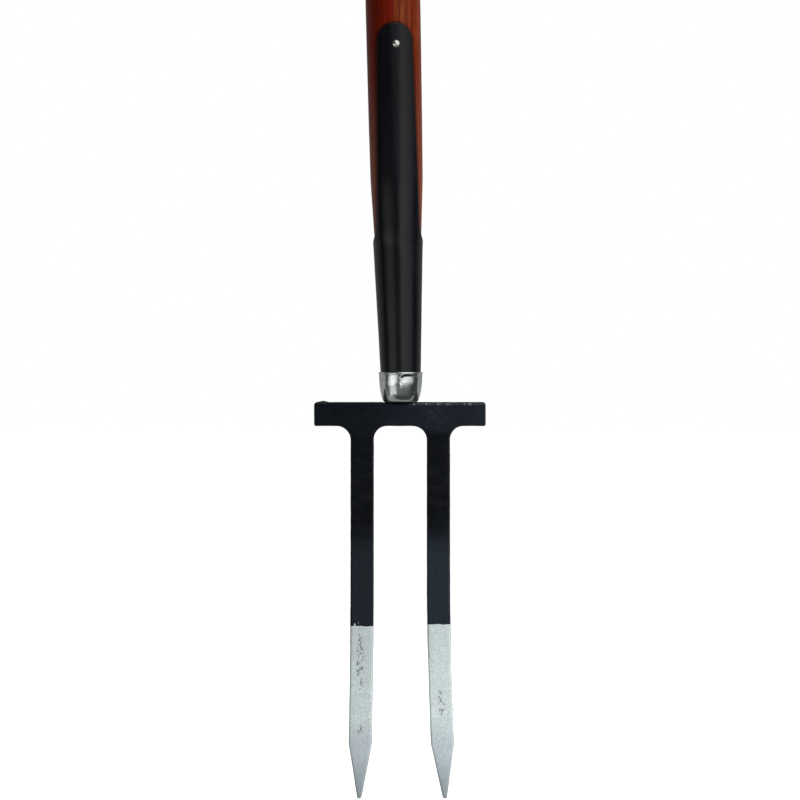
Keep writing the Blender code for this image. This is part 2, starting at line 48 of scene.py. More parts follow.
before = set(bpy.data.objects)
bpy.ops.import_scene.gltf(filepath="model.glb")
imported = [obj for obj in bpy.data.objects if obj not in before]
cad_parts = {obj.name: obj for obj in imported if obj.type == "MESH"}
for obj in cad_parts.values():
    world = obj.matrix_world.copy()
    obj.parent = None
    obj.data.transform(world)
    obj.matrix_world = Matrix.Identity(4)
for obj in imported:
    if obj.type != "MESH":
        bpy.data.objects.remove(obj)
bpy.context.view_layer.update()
HEAD_LOW, HEAD_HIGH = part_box("fork_head")

TURN = 2.0 * math.pi
MM = 0.001
WELD = 0.002 * MM           # points closer than this are one point

# Head
TREAD_THICKNESS = 14.0 * MM
TREAD_HEIGHT = 16.8 * MM
TREAD_TOP_CORNER = 2.3 * MM
TREAD_LOWER_CORNER = 1.5 * MM
MIDDLE_X = (HEAD_LOW.x + HEAD_HIGH.x) / 2.0
MIDDLE_Y = HEAD_HIGH.y - TREAD_THICKNESS / 2.0
TREAD_TOP = HEAD_HIGH.z
TREAD_BOTTOM = TREAD_TOP - TREAD_HEIGHT
TINE_CENTRE = 0.3 * MM      # the pair of tines sits a little to the right
TINE_FILLET = 9.5 * MM
POINT_LENGTH = 37.5 * MM
POINT_RADIUS = 1.6 * MM
POINT_SLOPE = 10.0          # degrees by which a point's sides lean inwards where its rounding begins
SPLAY_START = 115.0 * MM    # below the crossbar
SPLAY_LEFT = 1.7 * MM
SPLAY_RIGHT = 4.2 * MM
SPLAY_POWER = 1.6
BEND_START = 50.0 * MM
BEND_END = 135.0 * MM
BEND_ANGLE = math.radians(12.0)
THICKNESS_AT = np.array((   # distance below the crossbar, thickness
    (0.0, 14.0), (9.5, 14.0), (50.0, 11.6), (135.0, 8.6), (219.4, 6.2), (256.9, 2.2),
)) * MM
ARRIS_SHARE = 0.42          # an arris takes at most this share of the thickness
SEAT_HALF_WIDTH = 11.2 * MM  # the hollow in the crossbar's top that the collar's foot stands in
SEAT_DEPTH = 1.1 * MM
LUMP_ASIDE = -53.6 * MM     # a lump of paint on the crossbar's upper edge, from the middle
LUMP_HALF_WIDTH = 4.6 * MM
LUMP_HEIGHT = 0.75 * MM
FORGED_WAVE = 9.0 * MM      # distance between the lumps of the forging

# Shaft and its split handle
SHAFT_OFFSET = 1.0 * MM
AXIS_FOOT = np.array((MIDDLE_X + SHAFT_OFFSET, MIDDLE_Y, TREAD_TOP))
SHAFT_BOTTOM = 22.0 * MM
SHAFT_STEP = 3.0 * MM
WOOD_AT = np.array((        # height, radius
    (22.0, 12.2), (24.0, 12.7), (111.6, 15.9), (117.0, 16.5), (122.6, 16.75), (134.6, 17.3),
    (144.6, 17.8), (155.6, 18.3), (197.6, 18.75), (236.6, 19.0), (270.6, 19.2), (420.0, 19.2),
)) * MM
TANG_TOP = 95.0 * MM
TANG_RADIUS = 6.0 * MM
TANG_TIP_RADIUS = 3.0 * MM
CROTCH = 585.0 * MM
CROTCH_ROUNDING = 55.0 * MM
SPREAD_TOP = 670.0 * MM
GRIP_HEIGHT = 695.0 * MM
GRIP_TAPER = 2.0 * MM       # how much thinner the grip is at its ends
GRIP_CORNER = 2.2 * MM
GRIP_BORE = 3.3 * MM
ARM_INSIDE = 42.0 * MM
ARM_THICKNESS = 15.0 * MM
ARM_HALF_WIDTH = 15.0 * MM
ARM_SQUARENESS = 5.0        # power of the arm's section: 2 for an ellipse, more for a squarer one
GAP = 0.3 * MM

# Socket and straps
WALL = 1.2 * MM
SOCKET_BOTTOM = 15.0 * MM
SOCKET_AT = np.vstack([     # height, outside radius
    np.array(((15.0, 13.9), (111.6, 17.4))) * MM,
    WOOD_AT[3:] + (0.0, GAP + WALL),
])
SLOT_BOTTOM = 112.0 * MM
SLOT_RISE = 11.7 * MM       # height over which the slot widens to its full width
SLOT_ROUNDNESS = 1.25       # 1 for an ellipse, more for a bottom that is more pointed
STRAP_HALF_WIDTH_LOW = 14.5 * MM
STRAP_HALF_WIDTH_TOP = 11.9 * MM
STRAP_TOP = 263.7 * MM
STRAP_TURN = math.radians(2.4)
STRAP_CORNER_POINTS = 8     # points from a strap's tip to the corner of its face patch
PRESSED_WAVE = 30.0 * MM

# Collar: upright round the leaning shaft. Its points are (radius, height above the crossbar).
COLLAR_ASIDE = -0.45 * MM
COLLAR_LIP = np.array(((-0.8, 0.0), (0.0, -0.1), (-0.02, -1.35), (-0.32, -1.65), (-0.35, -2.8))) * MM
COLLAR_SIDE = np.array(((14.85, 12.0), (13.95, 5.6), (12.4, 0.9), (10.6, -0.8), (9.2, -1.06))) * MM
COLLAR_ROUNDING = np.array((0.0, 0.38, 0.3, 0.22, 0.4, 3.0, 2.4, 1.2, 0.5, 0.0)) * MM
COLLAR_INSIDE = np.array((
    (8.4, -1.06), (8.4, -0.2), (9.8, 0.2), (12.0, 3.4), (13.2, 8.0), (14.2, 12.5),
)) * MM
COLLAR_INSIDE_TOP = np.array(((-0.8, -2.0),)) * MM
COLLAR_FOOT = 1.0 * MM      # the foot is what lies deeper than this below the crossbar's top
FOOT_DROP = 0.12 * MM       # beside the crossbar the foot hangs lower, so that no light shows under it
FOOT_CLEARANCE = 0.3 * MM
SPUN_WAVE = 12.0 * MM
SPUN_UNEVENNESS = 0.03 * MM

# Fasteners: a rivet is the radius of its shank, the radius of its head and the height of its head;
# a washer is the radius of its hole and its own radius
STRAP_RIVET = (1.7 * MM, 2.65 * MM, 1.7 * MM)
STRAP_RIVET_HEIGHT = 249.2 * MM
STRAP_RIVET_TURN = math.radians(4.6)
CROTCH_RIVET = (2.2 * MM, 4.0 * MM, 1.7 * MM)
CROTCH_RIVET_HEIGHT = 568.0 * MM
CROTCH_SEAT = 18.0 * MM
CROTCH_WASHER = (2.5 * MM, 6.0 * MM)
GRIP_ROD = (3.0 * MM, 5.0 * MM, 2.0 * MM)
GRIP_WASHER = (3.3 * MM, 8.5 * MM)
WASHER_THICKNESS = 1.5 * MM
RIVET_STEPS = 48
WASHER_STEPS = 56

# Marks of the head's paint, seen from the front: upright ellipses as middle x and z, half width and height
DRIP = (-24.1 * MM, 118.4 * MM, 0.6 * MM, 1.5 * MM)
FLECK = (-21.5 * MM, 119.8 * MM, 0.35 * MM, 1.1 * MM)
PITTED = (
    (-20.4 * MM, 94.0 * MM, 3.0 * MM, 24.0 * MM),
    (-20.3 * MM, 47.3 * MM, 2.4 * MM, 4.0 * MM),
    (36.2 * MM, 67.0 * MM, 2.8 * MM, 12.0 * MM),
)
# where the crossbar's paint is blistered and gets painted glints
GLINTED_BLISTERS = (32.0 * MM, 264.0 * MM, 12.0 * MM, 7.0 * MM)
# the lump of paint, which gets a painted highlight
LUMP = (MIDDLE_X + LUMP_ASIDE, TREAD_TOP - 0.5 * MM, LUMP_HALF_WIDTH, 1.2 * MM)

# Zones of the head's paint
DIP_STEP = 1.3 * MM         # the silver stands this much higher on the right tine
DIP_WAVER = 1.6 * MM
DIP_BLUR = (-0.15 * MM, 0.15 * MM)
DIP_LIP = (1.3 * MM, 0.5 * MM)
RIGHT_HALF = (MIDDLE_X - 1.0 * MM, MIDDLE_X + 1.0 * MM)
BLUE_TOP = (58.0 * MM, 34.0 * MM)
BLUE_FOOT = (2.0 * MM, 22.0 * MM)
# the silver grows darker towards its top
SILVER_DARKER_TOP = (60.0 * MM, 110.0 * MM)
# the points darken from wear and painted shade
WORN_AND_SHADED_POINT = (34.0 * MM, 2.0 * MM)
CHIPPED_BELOW = (TREAD_TOP - 2.0 * MM, TREAD_TOP - 3.5 * MM)
FRONT_FACE = (MIDDLE_Y - 5.0 * MM, MIDDLE_Y - 6.5 * MM)
# bare specks and a painted highlight along the crossbar's upper edge
HIGHLIT_RUBBED_HEIGHT = TREAD_TOP - 1.4 * MM
HIGHLIT_RUBBED_REACH = (1.1 * MM, 0.3 * MM)
HIGHLIT_RUBBED_SIDE = (10.0 * MM, 17.0 * MM)
# zones of the painted sheen on the black paint
SHEEN_BAR = (TREAD_BOTTOM - 8.0 * MM, TREAD_BOTTOM)
SHEEN_BAR_SIDE = (-30.0 * MM, 30.0 * MM)
SHEEN_TINE = (190.0 * MM, 165.0 * MM)

# Zones of the collar: the painted shade in its groove, which climbs to the right, and at its foot
GROOVE_HEIGHT = TREAD_TOP + 17.5 * MM
GROOVE_RISE = 1.05 * MM
GROOVE_CLIMB = (7.6 * MM, 11.6 * MM)
GROOVE_REACH = (1.15 * MM, 0.6 * MM)
GROOVE_LEFT = (7.2 * MM, 8.6 * MM)
GROOVE_RIGHT = (20.4 * MM, 19.0 * MM)
GROOVE_SHADE_FAINTER = (15.5 * MM, 13.0 * MM)
SHADED_FOOT_ZONE = (TREAD_TOP + 0.9 * MM, TREAD_TOP - 0.1 * MM)
CRAZED_SIDE = (3.0 * MM, 8.0 * MM)

# Wood: the growth rings, and the zones of its colours in shaft coordinates
HEART_X = -46.0 * MM        # the rings' middle lies outside the shaft
HEART_Y = 31.0 * MM
HEART_DRIFT = 26.0 * MM
RING_WIDTH = 3.3 * MM
FRONT_WOOD = (0.0, -4.0 * MM)
FRONT_TOP = (400.0 * MM, 290.0 * MM)
FRONT_FOOT = (90.0 * MM, 100.0 * MM)
RED_SIDE = (5.0 * MM, -2.0 * MM)
# the band of painted sheen on the front's right
SHEEN_BAND_LEFT = (-0.5 * MM, 3.0 * MM)
SHEEN_BAND_RIGHT = (12.0 * MM, 7.0 * MM)
THREADED_SIDE = (9.0 * MM, 13.0 * MM)
WORN_TOP = (250.0 * MM, 145.0 * MM)
WORN_FOOT = (80.0 * MM, 100.0 * MM)
LESS_WORN_SIDE = (0.0, 8.0 * MM)
# the band of painted shade beside the straps
CONTACT_REACH = (2.6 * MM, 0.2 * MM)
CONTACT_FOOT = (0.9 * SLOT_BOTTOM, SLOT_BOTTOM)

# Colours of worn, dirty and bare places, and of painted shade, sheen, glints and highlights
SILVER_BLUE = (0.42, 0.48, 0.56)
# painted shade of the left tine, also used to darken the silver's top
SILVER_PAINTED_SHADE = (0.30, 0.34, 0.34)
# wear and painted shade at the points
SILVER_WORN_AND_SHADED = (0.22, 0.27, 0.30)
SILVER_LIP = (0.74, 0.80, 0.79)
SILVER_PIT = (0.10, 0.12, 0.11)
# painted sheen on the black paint, and its speckle
BLACK_PAINTED_SHEEN = (0.0158, 0.0228, 0.0330)
BLACK_SHEEN_SPECKLE = (0.050, 0.060, 0.070)
# painted glint on blistered paint
BLISTER_PAINTED_GLINT = (0.045, 0.050, 0.062)
# painted highlight on the lump of paint
LUMP_PAINTED_HIGHLIGHT = (0.09, 0.10, 0.10)
# bare steel and a painted highlight on the crossbar's upper edge
RUBBED_STEEL_AND_HIGHLIGHT = (0.20, 0.21, 0.22)
CHIPPED_STEEL = (0.20, 0.22, 0.24)
DUST = (0.045, 0.045, 0.048)
# painted shade on the collar
COLLAR_PAINTED_SHADE = (0.010, 0.010, 0.010)
WORN_WOOD = (0.30, 0.13, 0.075)
# painted shade on the wood beside the straps
WOOD_PAINTED_SHADE = (0.012, 0.0025, 0.0010)
RIVET_STEEL = (0.78, 0.77, 0.73)
ZINC = (0.50, 0.51, 0.52)
FORGED_STEEL = (0.30, 0.30, 0.31)
PLUG_STEEL = (0.42, 0.42, 0.43)
WHITE = (1.0, 1.0, 1.0)

# Camera and lamps: the photograph's frame is 560 mm wide where the shaft's axis stands
CAMERA_DISTANCE = 3.0
FRAME_WIDTH = 0.56
CAMERA_HEIGHT = 0.2751
CAMERA_ASIDE = 0.1 * MM     # the crossbar's middle is a little left of the picture's
SENSOR = 36.0
LAMP_DISTANCE = 1.5


class HeadSettings(bpy.types.PropertyGroup):
    """Sizes and paint of the crossbar and tines."""

    width: FloatProperty(
        name="Crossbar width", description="Width of the crossbar", unit="LENGTH",
        default=HEAD_HIGH.x - HEAD_LOW.x)
    spacing: FloatProperty(
        name="Tine spacing", description="Distance between the middles of the tines", unit="LENGTH",
        default=53.3 * MM)
    tine_width: FloatProperty(
        name="Tine width", description="Width of a tine below its fillets", unit="LENGTH", default=16.2 * MM)
    arris: FloatProperty(
        name="Arris", description="Rounding of the edges between the faces", unit="LENGTH", default=1.2 * MM)
    mesh_step: FloatProperty(
        name="Mesh step", description="Distance between points along the outline", unit="LENGTH",
        default=1.2 * MM)
    unevenness: FloatProperty(
        name="Unevenness", description="Height of the lumps left by forging and paint", unit="LENGTH",
        default=0.045 * MM)
    dip_height: FloatProperty(
        name="Dip height", description="Height up to which the left tine is silver", unit="LENGTH",
        default=117.6 * MM)
    black: FloatVectorProperty(
        name="Black", description="Colour of the black paint", subtype="COLOR",
        default=(0.0026, 0.0036, 0.0054))
    silver: FloatVectorProperty(
        name="Silver", description="Colour of the silver paint", subtype="COLOR",
        default=(0.76, 0.855, 0.855))


class SocketSettings(bpy.types.PropertyGroup):
    """Finish of the socket and its straps."""

    edge: FloatProperty(
        name="Edge", description="Rounding of the straps' edges", unit="LENGTH", default=0.45 * MM)
    mesh_step: FloatProperty(
        name="Mesh step", description="Distance between points along a strap", unit="LENGTH",
        default=1.5 * MM)
    unevenness: FloatProperty(
        name="Unevenness", description="Depth of the hammered waves in the metal", unit="LENGTH",
        default=0.05 * MM)
    black: FloatVectorProperty(
        name="Black", description="Colour of the satin paint", subtype="COLOR",
        default=(0.0020, 0.0022, 0.0040))


class CollarSettings(bpy.types.PropertyGroup):
    """Shape and plating of the collar."""

    rim_radius: FloatProperty(
        name="Rim radius", description="Radius of the rolled lip", unit="LENGTH", default=15.45 * MM)
    height: FloatProperty(
        name="Height", description="Height of the lip above the crossbar", unit="LENGTH",
        default=20.9 * MM)
    steps: IntProperty(name="Steps", description="Points round the collar", default=128, min=16)
    plating: FloatVectorProperty(
        name="Plating", description="Colour of the chrome", subtype="COLOR", default=(0.585, 0.63, 0.615))


class HandleSettings(bpy.types.PropertyGroup):
    """Sizes and colours of the wooden shaft and grip."""

    lean: FloatProperty(
        name="Lean", description="How far the shaft leans to the left", unit="ROTATION", subtype="ANGLE",
        default=math.radians(1.2))
    grip_radius: FloatProperty(
        name="Grip radius", description="Radius of the grip at its middle", unit="LENGTH",
        default=15.0 * MM)
    steps: IntProperty(name="Steps", description="Points round half of the shaft", default=40, min=8)
    stain: FloatVectorProperty(
        name="Stain", description="Main colour of the stained wood", subtype="COLOR",
        default=(0.160, 0.0180, 0.0018))
    red_stain: FloatVectorProperty(
        name="Red stain", description="Colour of the redder wood on the left of the front",
        subtype="COLOR", default=(0.165, 0.0078, 0.0003))
    pale_grain: FloatVectorProperty(
        name="Pale grain", description="Colour of the paler grain", subtype="COLOR",
        default=(0.184, 0.037, 0.0075))
    dark_grain: FloatVectorProperty(
        name="Dark grain", description="Colour of the pores and late growth", subtype="COLOR",
        default=(0.055, 0.006, 0.0020))


class StageSettings(bpy.types.PropertyGroup):
    """Floor, background and lamps."""

    ambient: FloatProperty(
        name="Ambient", description="Brightness of the studio's walls as light", default=0.30)
    panel: FloatProperty(
        name="Panels", description="Brightness of the soft panels beside the camera", default=1.2)
    key: FloatProperty(
        name="Key", description="Brightness of the lamp on the right that no gloss shows", default=5.3)
    fill: FloatProperty(
        name="Fill", description="Brightness of the lamp behind that no gloss shows", default=2.1)


class ForkSettings(bpy.types.PropertyGroup):
    """All settings of the border fork."""

    head: PointerProperty(type=HeadSettings)
    socket: PointerProperty(type=SocketSettings)
    collar: PointerProperty(type=CollarSettings)
    handle: PointerProperty(type=HandleSettings)
    stage: PointerProperty(type=StageSettings)


class Grid:
    """A surface of rows by columns of points, with values at the points for its material to read."""

    def __init__(self, points, closed_rows=False, closed_columns=False, **values):
        self.points = points
        self.closed_rows = closed_rows
        self.closed_columns = closed_columns
        self.values = values

    def faces(self):
        """Corner numbers of the faces; a closed direction goes on from its last row to its first."""
        rows, columns = self.points.shape[:2]
        index = np.arange(rows * columns).reshape(rows, columns)
        if self.closed_rows:
            index = np.vstack([index, index[:1]])
        if self.closed_columns:
            index = np.hstack([index, index[:, :1]])
        corners = (index[:-1, :-1], index[:-1, 1:], index[1:, 1:], index[1:, :-1])
        return np.stack(corners, axis=-1).reshape(-1, 4)


def add_piece(name, grids, finish, nodes):
    """Weld grids into one closed mesh that stands for CAD nodes, and give it a finish."""
    points = np.vstack([grid.points.reshape(-1, 3) for grid in grids])
    starts = np.cumsum([0] + [grid.points.shape[0] * grid.points.shape[1] for grid in grids[:-1]])
    faces = np.vstack([grid.faces() + start for grid, start in zip(grids, starts)])
    mesh = bpy.data.meshes.new(name)
    mesh.from_pydata(points.tolist(), [], faces.tolist())
    for key, sample in grids[0].values.items():
        kind = "FLOAT_VECTOR" if sample.ndim == 3 else "FLOAT"
        numbers = np.concatenate([grid.values[key].ravel() for grid in grids]).astype(np.float32)
        attribute = mesh.attributes.new(key, kind, "POINT")
        attribute.data.foreach_set("vector" if sample.ndim == 3 else "value", numbers)
    work = bmesh.new()
    work.from_mesh(mesh)
    bmesh.ops.remove_doubles(work, verts=work.verts, dist=WELD)
    bmesh.ops.recalc_face_normals(work, faces=work.faces)
    work.to_mesh(mesh)
    work.free()
    mesh.shade_smooth()
    mesh.materials.append(finish)
    piece = bpy.data.objects.new(name, mesh)
    bpy.context.scene.collection.objects.link(piece)
    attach(piece, "root")
    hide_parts(*nodes)


def ripple(points, wavelength, seed, waves=9):
    """Soft unevenness from about -1 to 1.

    Plane sine waves in seeded random directions are added up and divided by the root of their number.
    """
    random = np.random.default_rng(seed)
    directions = random.normal(size=(waves, 3))
    directions /= np.linalg.norm(directions, axis=1, keepdims=True)
    lengths = wavelength * random.uniform(0.7, 1.5, waves)
    phases = random.uniform(0.0, TURN, waves)
    turns = points @ (directions / lengths[:, None]).T * TURN + phases
    return np.sin(turns).mean(axis=-1) * math.sqrt(waves)


def roughened(points, wavelength, height, seed):
    """Move points by three ripples, one along each axis, so that a welded surface stays closed."""
    shift = [ripple(points, wavelength, seed + axis) for axis in range(3)]
    return points + height * np.stack(shift, axis=-1)


def smooth_reading(stations, at, window=4.0 * MM):
    """Read a table of (position, value) rows, averaged over a window so that it has no corners."""
    offsets = np.linspace(-window, window, 5)
    readings = [np.interp(at + offset, stations[:, 0], stations[:, 1]) for offset in offsets]
    return np.mean(readings, axis=0)


def smooth_step(share):
    """3 s^2 - 2 s^3: from 0 to 1 with no slope at either end."""
    return share ** 2 * (3.0 - 2.0 * share)


def on_shaft(points, lean):
    """Turn shaft coordinates about Y by the shaft's lean and set them on the crossbar's top."""
    x, y, height = np.moveaxis(points, -1, 0)
    across = x * math.cos(lean) - height * math.sin(lean)
    up = height * math.cos(lean) + x * math.sin(lean)
    return np.stack([across, y, up], axis=-1) + AXIS_FOOT


def soften(corners, reach, steps=5, closed=False):
    """Round a polyline: each corner becomes a parabola that starts and ends `reach` away from it."""
    corners = np.array(corners, float)
    reach = np.broadcast_to(reach, len(corners))[:, None]
    before = np.roll(corners, 1, axis=0) - corners
    after = np.roll(corners, -1, axis=0) - corners
    start = (corners + before / np.linalg.norm(before, axis=1, keepdims=True) * reach)[:, None]
    end = (corners + after / np.linalg.norm(after, axis=1, keepdims=True) * reach)[:, None]
    t = np.linspace(0.0, 1.0, steps + 1)[None, :, None]
    bends = (1.0 - t) ** 2 * start + 2.0 * t * (1.0 - t) * corners[:, None] + t ** 2 * end
    if closed:
        return bends.reshape(-1, 2)
    return np.vstack([corners[:1], bends[1:-1].reshape(-1, 2), corners[-1:]])


def turned(profile, steps, origin=(0.0, 0.0, 0.0), axis=(0.0, 0.0, 1.0), closed=False):
    """Carry a profile of (radius, distance along the axis) round an axis through the origin."""
    axis = Vector(axis).normalized()
    side = axis.orthogonal().normalized()
    other = axis.cross(side)
    angle = np.linspace(0.0, TURN, steps, endpoint=False)[:, None, None]
    radius, along = np.array(profile).T
    round_about = np.cos(angle) * np.array(side) + np.sin(angle) * np.array(other)
    points = np.array(origin) + radius[None, :, None] * round_about + along[None, :, None] * np.array(axis)
    return Grid(points, closed_rows=True, closed_columns=closed)


def straight(start, end, step):
    """Points along a line in the head's plane, each with its inward normal, to the right of travel."""
    start, end = np.array(start), np.array(end)
    length = np.linalg.norm(end - start)
    share = np.linspace(0.0, 1.0, max(2, round(length / step) + 1))[:, None]
    along = (end - start) / length
    normal = np.array((along[1], -along[0]))
    return np.hstack([start + (end - start) * share, np.tile(normal, (len(share), 1))])


def arc(centre, radius, start, end, count, hollow=False):
    """Points on an arc, angles in degrees; normals point to its centre, or away from it if hollow."""
    angle = np.radians(np.linspace(start, end, count))[:, None]
    outwards = np.hstack([np.cos(angle), np.sin(angle)])
    return np.hstack([np.array(centre) + radius * outwards, outwards if hollow else -outwards])


def join(*curves):
    """One curve from several that meet end to start; a shared point keeps the mean of its normals."""
    joined = curves[0].copy()
    for curve in curves[1:]:
        joined[-1, 2:] = (joined[-1, 2:] + curve[0, 2:]) / 2.0
        joined = np.vstack([joined, curve[1:]])
    return joined


def mirrored(curve):
    """The same curve on the left, turned round so that the metal stays to its right."""
    return curve[::-1] * np.array((-1.0, 1.0, -1.0, 1.0))


def inset(curve, distance):
    """The curve's points moved inwards along their normals."""
    return curve[:, :2] + distance * curve[:, 2:]


def coons(bottom, top, left, right):
    """Fill four curves that meet at their ends: both straight blends, less the blend of the corners."""
    u = np.linspace(0.0, 1.0, len(bottom))[None, :, None]
    v = np.linspace(0.0, 1.0, len(left))[:, None, None]
    across = (1.0 - u) * left[:, None] + u * right[:, None]
    upwards = (1.0 - v) * bottom[None] + v * top[None]
    low = (1.0 - u) * bottom[0] + u * bottom[-1]
    high = (1.0 - u) * top[0] + u * top[-1]
    return across + upwards - ((1.0 - v) * low + v * high)


def arris_profile(reach, steps, side_steps):
    """Profile of a plate's edge from front to back, as columns: inset, share of the arris's depth in from
    the front, the same from the back, and how close the point is to the middle of an arris."""
    angle = np.linspace(0.0, math.pi / 2.0, steps)
    away = reach * (1.0 - np.sin(angle))
    sunk = 1.0 - np.cos(angle)
    wear = np.sin(2.0 * angle)
    flat = np.zeros(side_steps)
    middle = np.linspace(0.0, 1.0, side_steps + 2)[1:-1]
    return {
        "inset": np.concatenate([away, flat, away[::-1]]),
        "arris": np.concatenate([sunk, np.ones(side_steps), sunk[::-1]]),
        "share": np.concatenate([np.zeros(steps), middle, np.ones(steps)]),
        "wear": np.concatenate([wear, flat, wear[::-1]]),
    }


def right_curves(head):
    """Outline of the head's right half, clockwise from the middle of its top, as named curves."""
    side = head.width / 2.0
    middle = head.spacing / 2.0
    outer = middle + head.tine_width / 2.0
    inner = middle - head.tine_width / 2.0
    step = head.mesh_step
    across = round(head.tine_width / (0.6 * step))
    fillet_points = 12
    tip = (middle, POINT_RADIUS)
    lower = (side - TREAD_LOWER_CORNER, TREAD_BOTTOM + TREAD_LOWER_CORNER)
    upper = (side - TREAD_TOP_CORNER, TREAD_TOP - TREAD_TOP_CORNER)
    fillet_height = TREAD_BOTTOM - TINE_FILLET
    tip_side = POINT_RADIUS * math.cos(math.radians(POINT_SLOPE))
    tip_rise = POINT_RADIUS * (1.0 - math.sin(math.radians(POINT_SLOPE)))
    curves = {
        "end": join(
            arc(upper, TREAD_TOP_CORNER, 45.0, 0.0, 4),
            straight((side, upper[1]), (side, lower[1]), step),
            arc(lower, TREAD_LOWER_CORNER, 0.0, -45.0, 3)),
        "wing": join(
            arc(lower, TREAD_LOWER_CORNER, -45.0, -90.0, 3),
            straight((lower[0], TREAD_BOTTOM), (outer + TINE_FILLET, TREAD_BOTTOM), step)),
        "outer": join(
            arc((outer + TINE_FILLET, fillet_height), TINE_FILLET, 90.0, 180.0, fillet_points, hollow=True),
            straight((outer, fillet_height), (outer, POINT_LENGTH), step),
            straight((outer, POINT_LENGTH), (middle + tip_side, tip_rise), step),
            arc(tip, POINT_RADIUS, -POINT_SLOPE, -45.0, 4)),
        "tip": arc(tip, POINT_RADIUS, -45.0, -135.0, across + 1),
        "inner": join(
            arc(tip, POINT_RADIUS, -135.0, POINT_SLOPE - 180.0, 4),
            straight((middle - tip_side, tip_rise), (inner, POINT_LENGTH), step),
            straight((inner, POINT_LENGTH), (inner, fillet_height), step),
            arc((inner - TINE_FILLET, fillet_height), TINE_FILLET, 0.0, 90.0, fillet_points, hollow=True)),
        "middle": straight((inner - TINE_FILLET, TREAD_BOTTOM), (0.0, TREAD_BOTTOM), step),
    }
    reach = head.arris
    junction = np.linspace(inset(curves["inner"], reach)[-1], inset(curves["outer"], reach)[0], across + 1)
    underside = np.vstack([
        inset(curves["middle"], reach)[::-1], junction[1:-1], inset(curves["wing"], reach)[::-1]])
    corner = arc(upper, TREAD_TOP_CORNER, 90.0, 45.0, 3)
    places = underside[:len(underside) - len(corner) + 1, 0]
    top = np.zeros((len(places), 4))
    top[:, 0] = places * upper[0] / places[-1]
    top[:, 1] = TREAD_TOP
    top[:, 3] = -1.0
    curves["top"] = join(top, corner)
    return curves, junction, underside


def bent_head(flat, behind):
    """Bring flat (x, z) points and depths behind the front face to their place on the head.

    A tine bends forwards along a circle's arc, then runs straight on, and splays with a power of the
    distance below the crossbar. The crossbar's top sinks into the collar's seat and rises in a lump.
    """
    x, z = flat[..., 0], flat[..., 1]
    drop = np.maximum(0.0, TREAD_BOTTOM - z)
    radius = (BEND_END - BEND_START) / math.sin(BEND_ANGLE)
    along = np.clip(drop - BEND_START, 0.0, BEND_END - BEND_START)
    forward = radius - np.sqrt(radius ** 2 - along ** 2)
    forward += np.maximum(0.0, drop - BEND_END) * math.tan(BEND_ANGLE)
    share = np.maximum(0.0, (drop - SPLAY_START) / (TREAD_BOTTOM - SPLAY_START))
    splay = np.where(x > 0.0, SPLAY_RIGHT, -SPLAY_LEFT) * share ** SPLAY_POWER
    shift = TINE_CENTRE * np.minimum(1.0, drop / TINE_FILLET)
    seat = np.clip(1.0 - np.abs(x / SEAT_HALF_WIDTH) ** 6, 0.0, 1.0)
    near_top = np.clip(1.0 - (TREAD_TOP - z) / (TREAD_HEIGHT / 2.0), 0.0, 1.0)
    lump = np.clip(1.0 - ((x - LUMP_ASIDE) / LUMP_HALF_WIDTH) ** 2, 0.0, 1.0) ** 2
    y = behind - TREAD_THICKNESS / 2.0 - forward
    risen = LUMP_HEIGHT * lump * near_top ** 3 - SEAT_DEPTH * seat * near_top
    points = np.stack([x + splay + shift, y, z + risen], axis=-1)
    return points + (MIDDLE_X, MIDDLE_Y, 0.0)


def thickness_at(z):
    """Thickness of the head at a height: the crossbar's, then tapering down each tine."""
    return smooth_reading(THICKNESS_AT, TREAD_BOTTOM - z, 6.0 * MM)


def head_grids(head):
    """The head: an edge carried round its outline, and Coons patches that fill its front and back."""
    right, junction, underside = right_curves(head)
    order = ("top", "end", "wing", "outer", "tip", "inner", "middle")
    left = {name: mirrored(right[name]) for name in order}
    loop = join(*(right[name] for name in order), *(left[name] for name in reversed(order)))[:-1]
    edge = arris_profile(head.arris, 6, 4)
    flat = loop[:, None, :2] + loop[:, None, 2:] * edge["inset"][None, :, None]
    thickness = thickness_at(flat[..., 1])
    sunk = edge["arris"] * np.minimum(head.arris, ARRIS_SHARE * thickness)
    behind = sunk + edge["share"] * (thickness - 2.0 * sunk)
    wear = np.broadcast_to(edge["wear"], behind.shape)
    grids = [Grid(bent_head(flat, behind), closed_rows=True, wear=wear)]

    reach = head.arris
    flip = np.array((-1.0, 1.0))
    top = inset(right["top"], reach)
    end = inset(right["end"], reach)[::-1]
    tip = inset(right["tip"], reach)[::-1]
    inner = inset(right["inner"], reach)
    outer = inset(right["outer"], reach)[::-1]
    whole_underside = np.vstack([(underside * flip)[:0:-1], underside])
    whole_top = np.vstack([(top * flip)[:0:-1], top])
    bar = coons(whole_underside, whole_top, end * flip, end)
    tine = coons(tip, junction, inner, outer)
    for face in (bar, tine, (tine * flip)[:, ::-1]):
        for behind in (0.0 * face[..., 1], thickness_at(face[..., 1])):
            grids.append(Grid(bent_head(face, behind), wear=0.0 * behind))
    return grids


